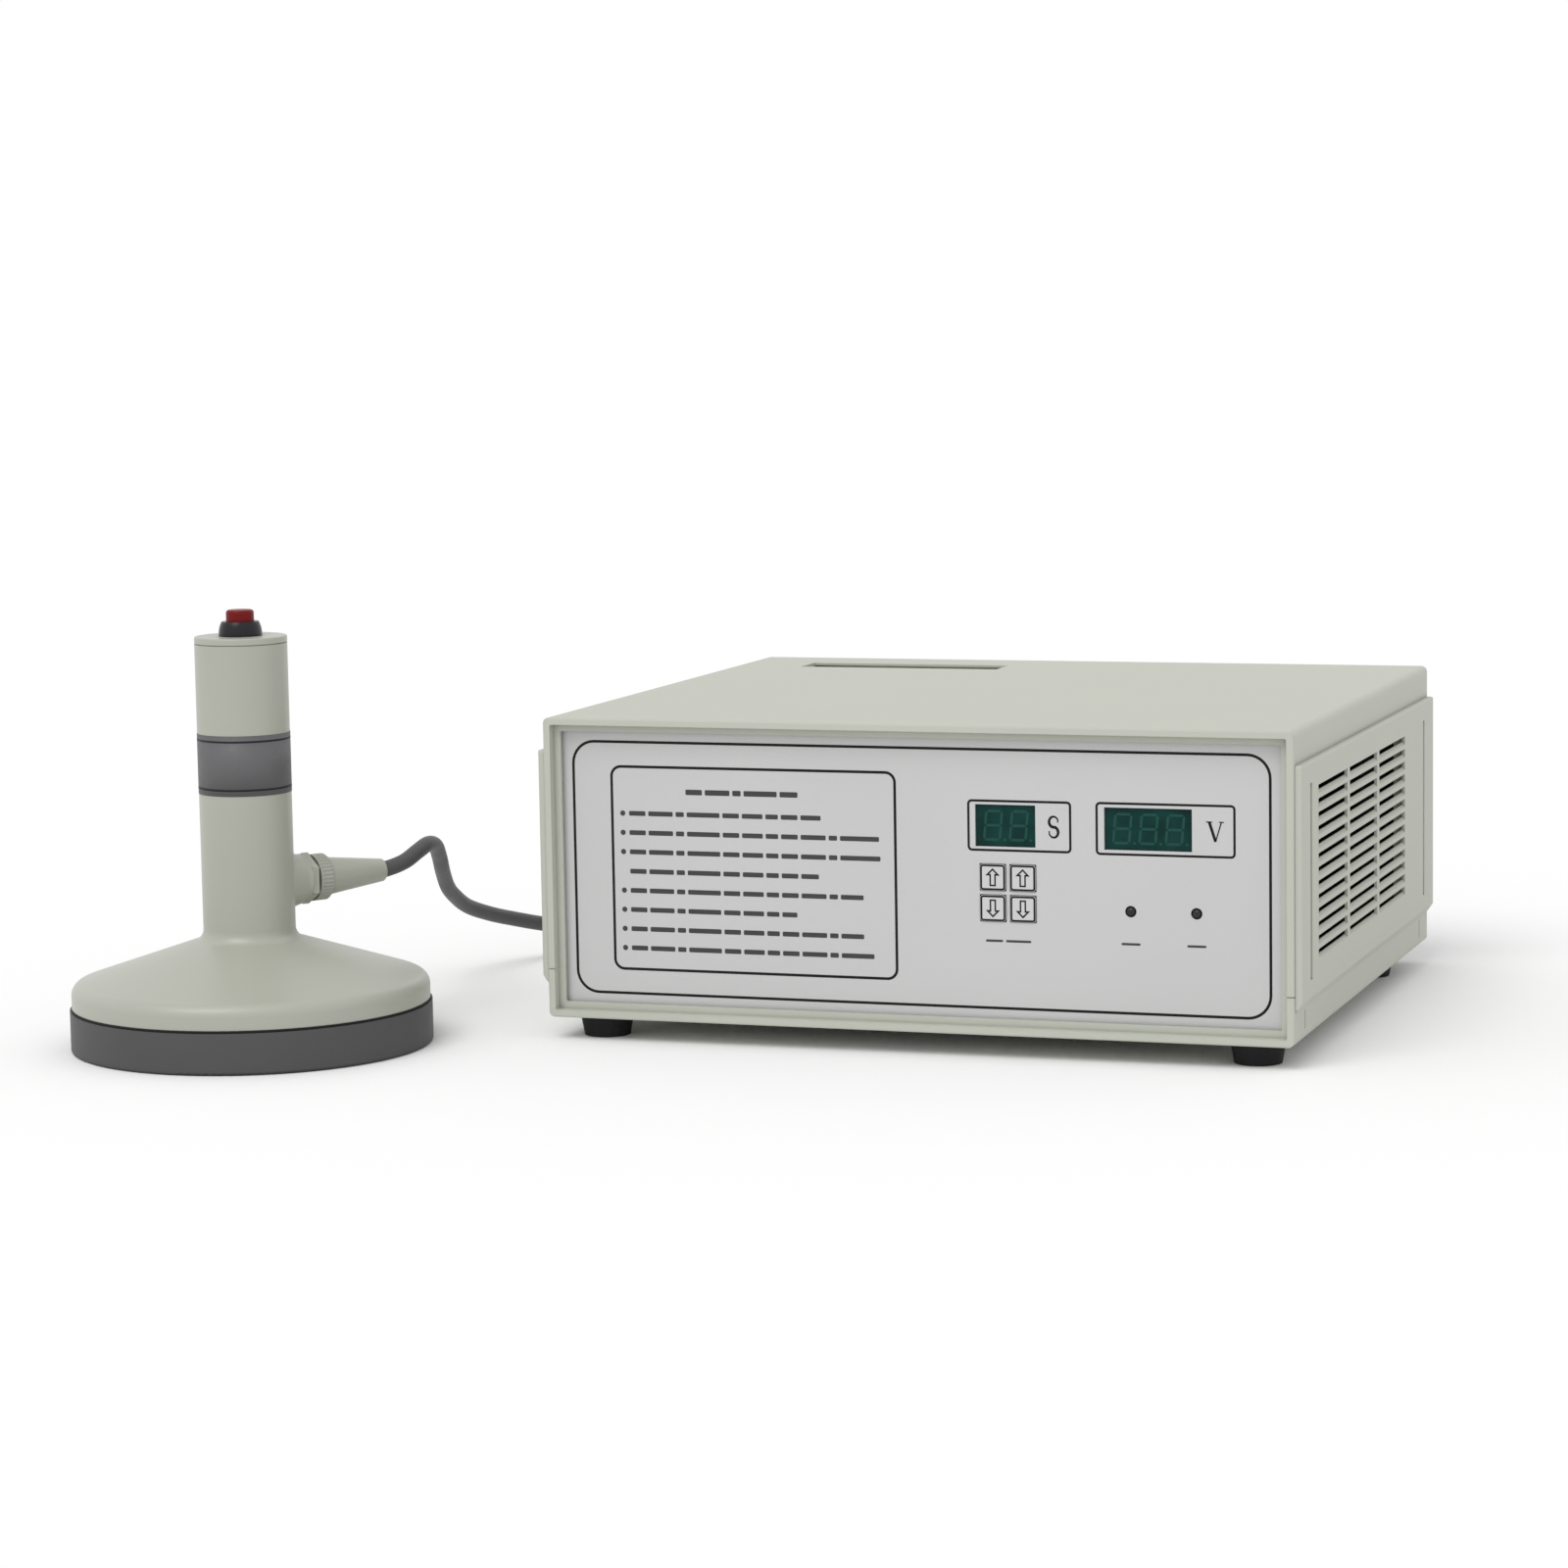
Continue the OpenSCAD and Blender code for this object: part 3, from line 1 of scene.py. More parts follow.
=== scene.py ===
"""Looks of a hand-held induction cap sealer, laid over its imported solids.

The bench case, its sealing head and the cable between them come from the
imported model. This script gives each solid its finish, lays the print on the
front panel, the keys, the rocker and the handle, and sets the studio round
the object.
"""

from __future__ import annotations

import json
import logging
import math
from dataclasses import dataclass
from enum import Enum
from typing import Any, Optional, Sequence, Union

import bmesh
import bpy
from mathutils import Color, Matrix, Vector, geometry

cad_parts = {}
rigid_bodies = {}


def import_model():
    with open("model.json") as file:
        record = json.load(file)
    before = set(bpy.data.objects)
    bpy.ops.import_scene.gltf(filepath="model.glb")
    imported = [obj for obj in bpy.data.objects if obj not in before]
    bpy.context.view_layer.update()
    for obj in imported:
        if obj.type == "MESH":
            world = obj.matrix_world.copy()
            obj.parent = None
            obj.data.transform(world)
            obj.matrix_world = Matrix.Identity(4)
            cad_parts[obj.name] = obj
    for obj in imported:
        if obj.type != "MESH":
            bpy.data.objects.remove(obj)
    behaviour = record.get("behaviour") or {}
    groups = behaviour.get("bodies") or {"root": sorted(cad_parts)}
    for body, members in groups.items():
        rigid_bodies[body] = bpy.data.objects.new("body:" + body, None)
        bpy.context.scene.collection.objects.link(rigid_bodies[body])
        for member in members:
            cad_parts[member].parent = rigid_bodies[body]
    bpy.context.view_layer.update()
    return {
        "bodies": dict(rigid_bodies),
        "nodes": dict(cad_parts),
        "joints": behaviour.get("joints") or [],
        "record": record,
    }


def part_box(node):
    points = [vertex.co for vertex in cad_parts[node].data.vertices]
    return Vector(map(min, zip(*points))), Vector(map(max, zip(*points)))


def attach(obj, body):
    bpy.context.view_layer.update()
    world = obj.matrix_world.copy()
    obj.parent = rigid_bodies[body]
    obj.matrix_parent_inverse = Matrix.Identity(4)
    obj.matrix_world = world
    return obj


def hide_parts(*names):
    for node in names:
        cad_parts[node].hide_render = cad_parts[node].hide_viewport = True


LOG = logging.getLogger("cap_sealer")

MM = 0.001
MAIN_BODY = "sealer"
RIGHTWARD = Vector((1.0, 0.0, 0.0))
UPWARD = Vector((0.0, 0.0, 1.0))
INK_HEIGHT = 0.06
SHARPEST_CORNER = 0.05
CORNER_STEPS = 8
SMALL_STEPS = 3
NOISE_SPAN = (0.3, 0.7)
WHITE = (1.0, 1.0, 1.0)
# Lighter green of the window filter: a painted glow, painted edge highlights and the
# tint of its dust specks.
PAINTED_GLOW_AND_DUST = (0.008, 0.062, 0.055)
TARNISH = (0.25, 0.24, 0.22)
MASKED_RUN = (0.03, 0.2, 0.08)
SAWN_BOARD = (0.36, 0.31, 0.16)
# Numbers of the Mix node's colour sockets, whose names its other kinds share.
MIX_SHARE, MIX_FIRST, MIX_SECOND, MIX_RESULT = 0, 6, 7, 2

Point = tuple[float, float]
Span = tuple[float, float]
Triple = tuple[float, float, float]
Colour = tuple[float, float, float]


def shade(red: int, green: int, blue: int) -> Colour:
    """Turns a display colour, 0 to 255, into the linear one that shaders take."""
    display = Color((red / 255.0, green / 255.0, blue / 255.0))
    return tuple(display.from_srgb_to_scene_linear())


def scaled(colour: Colour, factor: float) -> Colour:
    """Gives a colour made lighter or darker by a factor."""
    return tuple(min(1.0, part * factor) for part in colour)


def linked(name: str, data: bpy.types.ID) -> bpy.types.Object:
    """Makes an object and links it into the scene.

    Args:
        name: name of the object.
        data: its mesh, curve, camera or lamp.

    Returns:
        The object.
    """
    made = bpy.data.objects.new(name, data)
    bpy.context.scene.collection.objects.link(made)
    return made


def mesh_object(name: str, mesh: bmesh.types.BMesh) -> bpy.types.Object:
    """Makes an object of a mesh whose faces are done, and frees the mesh.

    Args:
        name: name of the object.
        mesh: its faces.

    Returns:
        The object, linked into the scene.
    """
    bmesh.ops.recalc_face_normals(mesh, faces=mesh.faces)
    data = bpy.data.meshes.new(name)
    mesh.to_mesh(data)
    mesh.free()
    return linked(name, data)


def skin(
    mesh: bmesh.types.BMesh,
    rails: list[list[bmesh.types.BMVert]],
    closed: bool,
    smooth: Sequence[int] = (),
) -> None:
    """Joins lines of as many points into a tube.

    Args:
        mesh: mesh that holds the points.
        rails: the lines, in order round the tube.
        closed: whether the tube runs into itself; if not, it gets two ends.
        smooth: numbers of the sides that are shaded smoothly.
    """
    count = len(rails[0])
    for side, (rail, beside) in enumerate(zip(rails, rails[1:] + rails[:1])):
        for i in range(count if closed else count - 1):
            j = (i + 1) % count
            face = mesh.faces.new((rail[i], rail[j], beside[j], beside[i]))
            face.smooth = side in smooth
    if not closed:
        mesh.faces.new([rail[0] for rail in rails])
        mesh.faces.new([rail[-1] for rail in reversed(rails)])


class Signal:
    """A node's output socket that can be used in Python expressions."""

    def __init__(self, graph: Graph, socket: Optional[bpy.types.NodeSocket]) -> None:
        """Keeps the socket and the graph that new nodes are added to."""
        self.graph = graph
        self.socket = socket

    def _math(self, operation: str, first: Input, second: Input) -> Signal:
        """Adds a Math node for two values."""
        values = {0: first, 1: second}
        return self.graph.node("ShaderNodeMath", {"operation": operation}, values)

    def __add__(self, other: Input) -> Signal:
        """Adds a value."""
        return self._math("ADD", self, other)

    def __radd__(self, other: Input) -> Signal:
        """Adds this signal to a value."""
        return self._math("ADD", other, self)

    def __sub__(self, other: Input) -> Signal:
        """Takes a value away."""
        return self._math("SUBTRACT", self, other)

    def __rsub__(self, other: Input) -> Signal:
        """Takes this signal away from a value."""
        return self._math("SUBTRACT", other, self)

    def __mul__(self, other: Input) -> Signal:
        """Multiplies by a value."""
        return self._math("MULTIPLY", self, other)

    def __rmul__(self, other: Input) -> Signal:
        """Multiplies a value by this signal."""
        return self._math("MULTIPLY", other, self)

    def least(self, other: Input) -> Signal:
        """Gives the lower of the signal and a value."""
        return self._math("MINIMUM", self, other)

    def vector_math(self, operation: str, other: Input, output: str) -> Signal:
        """Adds a Vector Math node for two vectors."""
        values = {0: self, 1: other}
        return self.graph.node(
            "ShaderNodeVectorMath", {"operation": operation}, values, output
        )

    def between(self, low: float, high: float, start: float, end: float) -> Signal:
        """Spreads a part of the signal's range over another range.

        Args:
            low: value that becomes start.
            high: value that becomes end.
            start: result at low and below.
            end: result at high and above.

        Returns:
            The spread signal.
        """
        ends = {"From Min": low, "From Max": high, "To Min": start, "To Max": end}
        return self.graph.node(
            "ShaderNodeMapRange", {"clamp": True}, {"Value": self, **ends}
        )

    def blend(self, first: Input, second: Input) -> Signal:
        """Mixes two colours, with this signal as the share of the second."""
        colours = {MIX_SHARE: self, MIX_FIRST: first, MIX_SECOND: second}
        return self.graph.node(
            "ShaderNodeMix", {"data_type": "RGBA"}, colours, MIX_RESULT
        )


Input = Union[Signal, float, Sequence[float]]


class Graph:
    """The nodes of one material or world."""

    def __init__(self, owner: Union[bpy.types.Material, bpy.types.World]) -> None:
        """Starts the nodes of a material or world afresh.

        Args:
            owner: what the nodes belong to.
        """
        owner.use_nodes = True
        self.tree = owner.node_tree
        self.tree.nodes.clear()

    def node(
        self,
        kind: str,
        settings: Optional[dict[str, Any]] = None,
        inputs: Optional[dict[Union[int, str], Input]] = None,
        output: Union[int, str] = 0,
    ) -> Signal:
        """Adds a node, sets it and links it.

        Args:
            kind: the node's type.
            settings: properties of the node, set before its sockets.
            inputs: value or signal for each socket, by name or number.
            output: output that is given back.

        Returns:
            The output, or an empty signal for a node that has none.
        """
        made = self.tree.nodes.new(kind)
        for key, value in (settings or {}).items():
            setattr(made, key, value)
        for key, value in (inputs or {}).items():
            socket = made.inputs[key]
            if isinstance(value, Signal):
                self.tree.links.new(value.socket, socket)
            elif isinstance(value, (int, float)):
                socket.default_value = value
            else:
                parts = tuple(value)
                room = len(socket.default_value)
                socket.default_value = parts + (1.0,) * (room - len(parts))
        return Signal(self, made.outputs[output] if made.outputs else None)


class By(Enum):
    """What a tone, a mark, a value or the relief of a finish follows."""

    FINE = "fine texture"
    BROAD = "broad texture"
    PEEL = "orange peel"
    EDGES = "edges"
    # Grooves, corners and gaps between pieces, where the finishes paint shade.
    SEAM_SHADE = "seams"


class Surface:
    """The surface that one material lies on."""

    edge_samples: int = 4

    def __init__(self, graph: Graph, finish: Finish) -> None:
        """Finds the places and softens the edges.

        Args:
            graph: the material's nodes.
            finish: finish that lies on the surface.
        """
        self.graph = graph
        self.finish = finish
        self.place = graph.node("ShaderNodeTexCoord", output="Object")
        settings = {"samples": self.edge_samples}
        self.normal = graph.node("ShaderNodeBevel", settings, {"Radius": finish.edge})
        self._found: dict[By, Signal] = {}

    def follow(self, by: By) -> Signal:
        """Gives what is followed, with its nodes made at the first use.

        Args:
            by: what is followed.

        Returns:
            Its signal.
        """
        if by not in self._found:
            self._found[by] = self.finish.texture(by).signal(self)
        return self._found[by]


class Texture:
    """Something on a surface that a finish can follow."""

    def signal(self, surface: Surface) -> Signal:
        """Adds the texture's nodes, which each kind does in its own way."""
        raise NotImplementedError


class Lay(Enum):
    """Direction of fine marks, as marks per metre on each axis."""

    ALL_ROUND = (1500.0, 1500.0, 1500.0)
    ALONG_Y = (4200.0, 60.0, 4200.0)
    HAIRLINES = (300.0, 5200.0, 900.0)


@dataclass(frozen=True)
class Noise(Texture):
    """Cloudy spots, so many per metre, with a value about 0.5 on the whole."""

    scale: float
    detail: float = 2.0
    weight: float = 0.5
    lay: Optional[Lay] = None

    def signal(self, surface: Surface) -> Signal:
        """Adds the noise, drawn out along its lay where it has one.

        Args:
            surface: the surface.

        Returns:
            The noise.
        """
        place = surface.place
        if self.lay is not None:
            place = place.vector_math("MULTIPLY", self.lay.value, "Vector")
        spots = {"Scale": self.scale, "Detail": self.detail, "Roughness": self.weight}
        return surface.graph.node("ShaderNodeTexNoise", None, {"Vector": place, **spots})


@dataclass(frozen=True)
class Edges(Texture):
    """The outer edges: 1 on a sharp edge and 0 on a flat face."""

    bend: float = 0.25

    def signal(self, surface: Surface) -> Signal:
        """Compares the softened normal with the plain one.

        Args:
            surface: the surface.

        Returns:
            The share of edge.
        """
        flat = surface.graph.node("ShaderNodeNewGeometry", output="Normal")
        turned = 1.0 - surface.normal.vector_math("DOT_PRODUCT", flat, "Value")
        return turned.between(0.0, self.bend, 0.0, 1.0)


@dataclass(frozen=True)
class SeamShade(Texture):
    """Grooves, inner corners and gaps between pieces: 1 deep inside them, where the
    finishes paint shade.
    """

    reach: float
    samples: int = 8
    clear_span: Span = (0.2, 0.85)

    def signal(self, surface: Surface) -> Signal:
        """Looks for walls within reach.

        Args:
            surface: the surface.

        Returns:
            The share of seam.
        """
        settings, sockets = {"samples": self.samples}, {"Distance": self.reach}
        node = "ShaderNodeAmbientOcclusion"
        clear = surface.graph.node(node, settings, sockets, "AO")
        return clear.between(*self.clear_span, 1.0, 0.0)


@dataclass(frozen=True)
class Room(Texture):
    """The space in a box: 1 inside it and 0 outside."""

    low: Triple
    high: Triple
    border: float = 0.2 * MM

    def signal(self, surface: Surface) -> Signal:
        """Tests each axis against both ends of the box.

        Args:
            surface: the surface.

        Returns:
            The mask.
        """
        mask: Input = 1.0
        for axis, start, end in zip("XYZ", self.low, self.high):
            place = {0: surface.place}
            spot = surface.graph.node("ShaderNodeSeparateXYZ", None, place, axis)
            mask = mask * spot.between(start, start + self.border, 0.0, 1.0)
            mask = mask * spot.between(end - self.border, end, 1.0, 0.0)
        return mask


@dataclass(frozen=True)
class BoardRuns(Texture):
    """Rows of copper runs on a board: 0 on a run and 1 between two."""

    gap: float = 0.7 * MM
    length: float = 11.0 * MM
    pitch: float = 4.5 * MM

    def signal(self, surface: Surface) -> Signal:
        """Lays the runs like bricks.

        Args:
            surface: the surface.

        Returns:
            The gaps between the runs.
        """
        sockets = {
            "Vector": surface.place,
            "Scale": 1.0,
            "Mortar Size": self.gap,
            "Brick Width": self.length,
            "Row Height": self.pitch,
        }
        return surface.graph.node("ShaderNodeTexBrick", None, sockets, "Fac")


@dataclass(frozen=True)
class WireTurns(Texture):
    """Turns of a winding, one above the other: 1 on a turn and 0 between two."""

    pitch: float = 1.1 * MM
    unit_wave: float = 0.314

    def signal(self, surface: Surface) -> Signal:
        """Adds one wave for each turn.

        Args:
            surface: the surface.

        Returns:
            The turns.
        """
        settings = {"wave_type": "BANDS", "bands_direction": "Z", "wave_profile": "SIN"}
        sockets = {"Vector": surface.place, "Scale": self.unit_wave / self.pitch}
        even = {"Distortion": 0.0, "Detail": 0.0}
        return surface.graph.node(
            "ShaderNodeTexWave", settings, {**sockets, **even}, "Fac"
        )


@dataclass(frozen=True)
class Marks:
    """Another tone that comes up as what it follows goes from low to high."""

    by: By
    share: float
    tone: float
    low: float = 0.0
    high: float = 1.0
    base: Optional[Colour] = None


@dataclass(frozen=True)
class Finish:
    """A procedural surface with softened edges and a fine relief.

    The tones, the haze on the roughness and the metal each go from a first to a
    second value while what they follow goes over a span. The marks are laid over
    the tones in their order.
    """

    name: str
    colour: Colour
    roughness: float
    edge: float
    fine: Texture
    broad: Texture
    peel: Texture = Noise(420.0)
    tones: Span = (1.0, 1.0)
    tone_by: By = By.BROAD
    tone_span: Span = NOISE_SPAN
    marks: tuple[Marks, ...] = ()
    # How far from a wall the painted shade in seams reaches.
    seam_shade_reach: float = 3.0 * MM
    haze: Span = (0.0, 0.1)
    haze_by: By = By.BROAD
    haze_span: Span = NOISE_SPAN
    polish: float = 0.0
    relief_by: By = By.FINE
    depth: float = 0.002 * MM
    metal: Optional[Span] = None
    metal_by: By = By.FINE
    metal_span: Span = (0.5, 0.7)
    gloss: float = 0.5
    coat: float = 0.0
    coat_roughness: float = 0.03

    def texture(self, by: By) -> Texture:
        """Finds the texture that is followed.

        Args:
            by: what is followed.

        Returns:
            The texture.
        """
        textures = {
            By.FINE: self.fine,
            By.BROAD: self.broad,
            By.PEEL: self.peel,
            By.EDGES: Edges(),
            By.SEAM_SHADE: SeamShade(self.seam_shade_reach),
        }
        return textures[by]

    def tint(self, surface: Surface) -> Input:
        """Lays the tones and the marks over one another.

        Args:
            surface: the surface.

        Returns:
            The colour.
        """
        dark, light = self.tones
        under: Input = scaled(self.colour, dark)
        first = Marks(self.tone_by, 1.0, light, *self.tone_span)
        for marks in (first, *self.marks):
            followed = surface.follow(marks.by)
            cover = followed.between(marks.low, marks.high, 0.0, marks.share)
            under = cover.blend(under, scaled(marks.base or self.colour, marks.tone))
        return under

    def height(self, surface: Surface) -> Signal:
        """Gives the height of the relief."""
        return surface.follow(self.relief_by)

    def build(self) -> bpy.types.Material:
        """Makes the material.

        Returns:
            The material, ready to be assigned.
        """
        material = bpy.data.materials.new(self.name)
        graph = Graph(material)
        surface = Surface(graph, self)
        smooth, rough = (self.roughness + part for part in self.haze)
        haze = surface.follow(self.haze_by).between(*self.haze_span, smooth, rough)
        if self.polish:
            haze = haze - surface.follow(By.EDGES) * self.polish
        relief = {
            "Strength": 1.0,
            "Distance": self.depth,
            "Height": self.height(surface),
            "Normal": surface.normal,
        }
        sockets = {
            "Base Color": self.tint(surface),
            "Roughness": haze,
            "Specular IOR Level": self.gloss,
            "Coat Weight": self.coat,
            "Coat Roughness": self.coat_roughness,
            "Normal": graph.node("ShaderNodeBump", None, relief),
        }
        if self.metal is not None:
            followed = surface.follow(self.metal_by)
            sockets["Metallic"] = followed.between(*self.metal_span, *self.metal)
        shader = graph.node("ShaderNodeBsdfPrincipled", None, sockets)
        graph.node("ShaderNodeOutputMaterial", None, {"Surface": shader})
        return material


@dataclass(frozen=True)
class MouldedPlastic(Finish):
    """Spark-eroded moulding: flow marks, specks, worn edges with painted highlight,
    painted shade in grooves.
    """

    fine: Texture = Noise(2200.0, 3.0, 0.6)
    broad: Texture = Noise(14.0, 3.0)
    tones: Span = (0.975, 1.025)
    tone_span: Span = (0.2, 0.8)
    marks: tuple[Marks, ...] = (
        Marks(By.FINE, share=0.35, tone=0.9, low=0.56, high=0.72),
        # Lighter edges: partly handling wear, partly painted highlight.
        Marks(By.EDGES, share=0.3, tone=1.12),
        # Painted shade in grooves, inner corners and gaps between pieces.
        Marks(By.SEAM_SHADE, share=0.45, tone=0.22),
    )
    haze: Span = (-0.05, 0.06)
    haze_span: Span = (0.2, 0.8)
    polish: float = 0.12
    depth: float = 0.012 * MM
    gloss: float = 0.2


@dataclass(frozen=True)
class ShadeLinedCase(MouldedPlastic):
    """Case moulding whose inside is painted near black: painted shade for the inside of
    the case.
    """

    # Near-black colour, mottled a little, that paints the shade inside the case.
    inside_shade: Colour = (0.035, 0.035, 0.037)
    shade_mottle: Texture = Noise(1100.0)
    shade_mottle_span: Span = (0.35, 0.7)
    shade_mottle_tone: float = 1.6
    room: Texture = Room(
        (140.5 * MM, 58.0 * MM, 13.5 * MM), (505.5 * MM, 362.0 * MM, 138.0 * MM)
    )

    def tint(self, surface: Surface) -> Input:
        """Gives the moulding's colour outside and the painted shade inside.

        Args:
            surface: the surface.

        Returns:
            The colour.
        """
        # Painted shade inside the box, colour of the moulding outside.
        mottle = self.shade_mottle.signal(surface).between(*self.shade_mottle_span, 0.0, 1.0)
        inside_shade = mottle.blend(self.inside_shade, scaled(self.inside_shade, self.shade_mottle_tone))
        return self.room.signal(surface).blend(super().tint(surface), inside_shade)


@dataclass(frozen=True)
class PrintedFilm(Finish):
    """Silver-grey printed film: metal flakes, faint orange peel, painted shade along
    seams.
    """

    fine: Texture = Noise(5200.0, weight=0.7)
    broad: Texture = Noise(9.0)
    tones: Span = (0.985, 1.015)
    marks: tuple[Marks, ...] = (
        Marks(By.FINE, share=0.5, tone=1.18, low=0.55, high=0.75),
        # Painted shade where the film meets the ribs and other pieces.
        Marks(By.SEAM_SHADE, share=0.7, tone=0.12),
    )
    seam_shade_reach: float = 2.0 * MM
    haze: Span = (-0.04, 0.05)
    haze_by: By = By.PEEL
    relief_by: By = By.PEEL
    depth: float = 0.004 * MM
    metal: Optional[Span] = (0.04, 0.3)


@dataclass(frozen=True)
class TintedFilter(Finish):
    """Dark tinted acrylic over a display: a painted glow, dust specks and painted
    highlights on the edges.
    """

    fine: Texture = Noise(3600.0, 1.0)
    broad: Texture = Noise(95.0, 3.0)
    marks: tuple[Marks, ...] = (
        # Painted glow in broad patches.
        Marks(By.BROAD, share=0.6, tone=1.0, low=0.35, high=0.7, base=PAINTED_GLOW_AND_DUST),
        Marks(By.FINE, share=0.25, tone=2.2, low=0.68, high=0.78, base=PAINTED_GLOW_AND_DUST),
        # Painted highlight on the edges.
        Marks(By.EDGES, share=0.5, tone=1.6, base=PAINTED_GLOW_AND_DUST),
    )
    haze: Span = (0.0, 0.08)
    relief_by: By = By.BROAD
    depth: float = 0.003 * MM
    gloss: float = 0.1


@dataclass(frozen=True)
class MattRubber(Finish):
    """Moulded rubber: fine pits, and a dusty bloom that is palest on the edges."""

    fine: Texture = Noise(1700.0, 3.0, 0.65)
    broad: Texture = Noise(55.0, 3.0)
    tones: Span = (1.0, 1.3)
    tone_span: Span = (0.4, 0.75)
    marks: tuple[Marks, ...] = (Marks(By.EDGES, share=0.35, tone=1.95),)
    haze: Span = (-0.06, 0.08)
    depth: float = 0.02 * MM
    gloss: float = 0.3


@dataclass(frozen=True)
class GlossPlastic(Finish):
    """Polished moulding: smears, rubbed edges and hairlines."""

    fine: Texture = Noise(1.0, lay=Lay.HAIRLINES)
    broad: Texture = Noise(160.0, 4.0, 0.6)
    tones: Span = (0.92, 1.06)
    tone_span: Span = (0.35, 0.7)
    marks: tuple[Marks, ...] = (Marks(By.EDGES, share=0.35, tone=1.45),)
    haze: Span = (0.0, 0.12)
    haze_span: Span = (0.3, 0.75)
    coat: float = 0.4
    coat_roughness: float = 0.12


@dataclass(frozen=True)
class WorkedMetal(Finish):
    """Bare or plated metal: working marks, tarnish and bright edges."""

    fine: Texture = Noise(1.0, 3.0, 0.6, Lay.ALL_ROUND)
    broad: Texture = Noise(240.0, 4.0, 0.6)
    tones: Span = (0.86, 1.1)
    tone_by: By = By.FINE
    marks: tuple[Marks, ...] = (
        Marks(By.BROAD, share=0.4, tone=1.0, low=0.55, high=0.8, base=TARNISH),
        Marks(By.EDGES, share=0.5, tone=1.2),
    )
    haze: Span = (-0.06, 0.1)
    haze_by: By = By.FINE
    depth: float = 0.006 * MM
    metal: Optional[Span] = (1.0, 0.85)
    metal_by: By = By.BROAD
    metal_span: Span = (0.5, 0.8)


@dataclass(frozen=True)
class SolderMask(Finish):
    """Circuit board: copper runs under a woven mask, and sawn edges."""

    fine: Texture = Noise(900.0)
    broad: Texture = BoardRuns()
    marks: tuple[Marks, ...] = (
        Marks(By.BROAD, share=1.0, tone=1.0, low=1.0, high=0.0, base=MASKED_RUN),
        Marks(By.EDGES, share=0.5, tone=1.0, base=SAWN_BOARD),
    )
    haze: Span = (-0.05, 0.08)
    haze_by: By = By.FINE
    depth: float = 0.008 * MM
    run_relief: float = 2.0

    def height(self, surface: Surface) -> Signal:
        """Gives the height of the weave and of the steps at the runs."""
        return super().height(surface) + surface.follow(By.BROAD) * self.run_relief


@dataclass(frozen=True)
class ScreenInk(Finish):
    """Thin screen-printed ink, uneven at the mesh of its screen."""

    fine: Texture = Noise(4200.0)
    broad: Texture = Noise(130.0)
    marks: tuple[Marks, ...] = (
        Marks(By.FINE, share=0.3, tone=1.5, low=0.4, high=0.75),
        Marks(By.BROAD, share=0.35, tone=1.25, low=0.3, high=0.7),
    )
    gloss: float = 0.2


@dataclass(frozen=True)
class WoundWire(Finish):
    """Enamelled winding wire, turn beside turn, with painted shade between turns and
    varnish that has run.
    """

    fine: Texture = WireTurns()
    broad: Texture = Noise(320.0, 3.0)
    # The tones paint shade in the gaps between turns.
    tones: Span = (0.25, 1.0)
    tone_by: By = By.FINE
    tone_span: Span = (0.05, 0.6)
    marks: tuple[Marks, ...] = (
        Marks(By.BROAD, share=0.5, tone=0.6, low=0.4, high=0.8),
    )
    haze: Span = (0.0, 0.15)
    depth: float = 0.25 * MM
    metal: Optional[Span] = (0.2, 0.85)
    metal_span: Span = (0.1, 0.5)


CASE_PLASTIC = ShadeLinedCase("case_plastic", shade(194, 196, 185), 0.56, 0.5 * MM)
HEAD_PLASTIC = MouldedPlastic(
    "head_plastic", shade(172, 174, 162), 0.37, 0.6 * MM,
    fine=Noise(2600.0, 3.0, 0.6), depth=0.008 * MM, gloss=0.7,
)
BLACK_PLASTIC = MouldedPlastic(
    "black_plastic", shade(38, 38, 40), 0.5, 0.3 * MM,
    fine=Noise(2000.0, 3.0, 0.6), depth=0.015 * MM, tones=(0.88, 1.12),
)
SOLE_PLASTIC = MouldedPlastic(
    "sole_plastic", shade(84, 84, 85), 0.55, 0.5 * MM,
    fine=Noise(1500.0, 3.0, 0.6), depth=0.02 * MM, tones=(0.94, 1.06),
)
REAR_COAT = MouldedPlastic(
    "rear_powder_coat", shade(52, 52, 54), 0.58, 0.4 * MM,
    fine=Noise(1300.0, 3.0, 0.6), depth=0.03 * MM, tones=(0.92, 1.08),
)
PANEL_FILM = PrintedFilm("panel_film", shade(201, 201, 201), 0.42, 0.2 * MM)
KEY_FILM = PrintedFilm("key_film", shade(206, 206, 206), 0.46, 0.25 * MM)
BAND_FOIL = PrintedFilm(
    "band_foil", shade(98, 98, 100), 0.55, 0.05 * MM, fine=Noise(3800.0, weight=0.7)
)
WINDOW_TINT = TintedFilter("window_tint", shade(10, 46, 43), 0.3, 0.15 * MM)
LAMP_LENS = GlossPlastic(
    "lamp_lens", shade(34, 34, 34), 0.22, 0.3 * MM, coat=0.1, gloss=0.3
)
COLLAR_BLACK = GlossPlastic(
    "collar_black", shade(24, 23, 30), 0.24, 0.4 * MM, coat=0.05, gloss=0.3
)
TRIGGER_RED = GlossPlastic(
    "trigger_red", shade(118, 12, 14), 0.36, 0.3 * MM, coat=0.0, gloss=0.2
)
CAP_SLEEVE = GlossPlastic("capacitor_sleeve", shade(44, 48, 104), 0.3, 0.3 * MM)
FOOT_RUBBER = MattRubber("foot_rubber", shade(27, 27, 28), 0.75, 0.6 * MM)
CABLE_JACKET = MattRubber(
    "cable_jacket", shade(84, 84, 85), 0.5, 0.2 * MM,
    tones=(1.0, 1.09), marks=(Marks(By.EDGES, share=0.35, tone=1.495),),
)
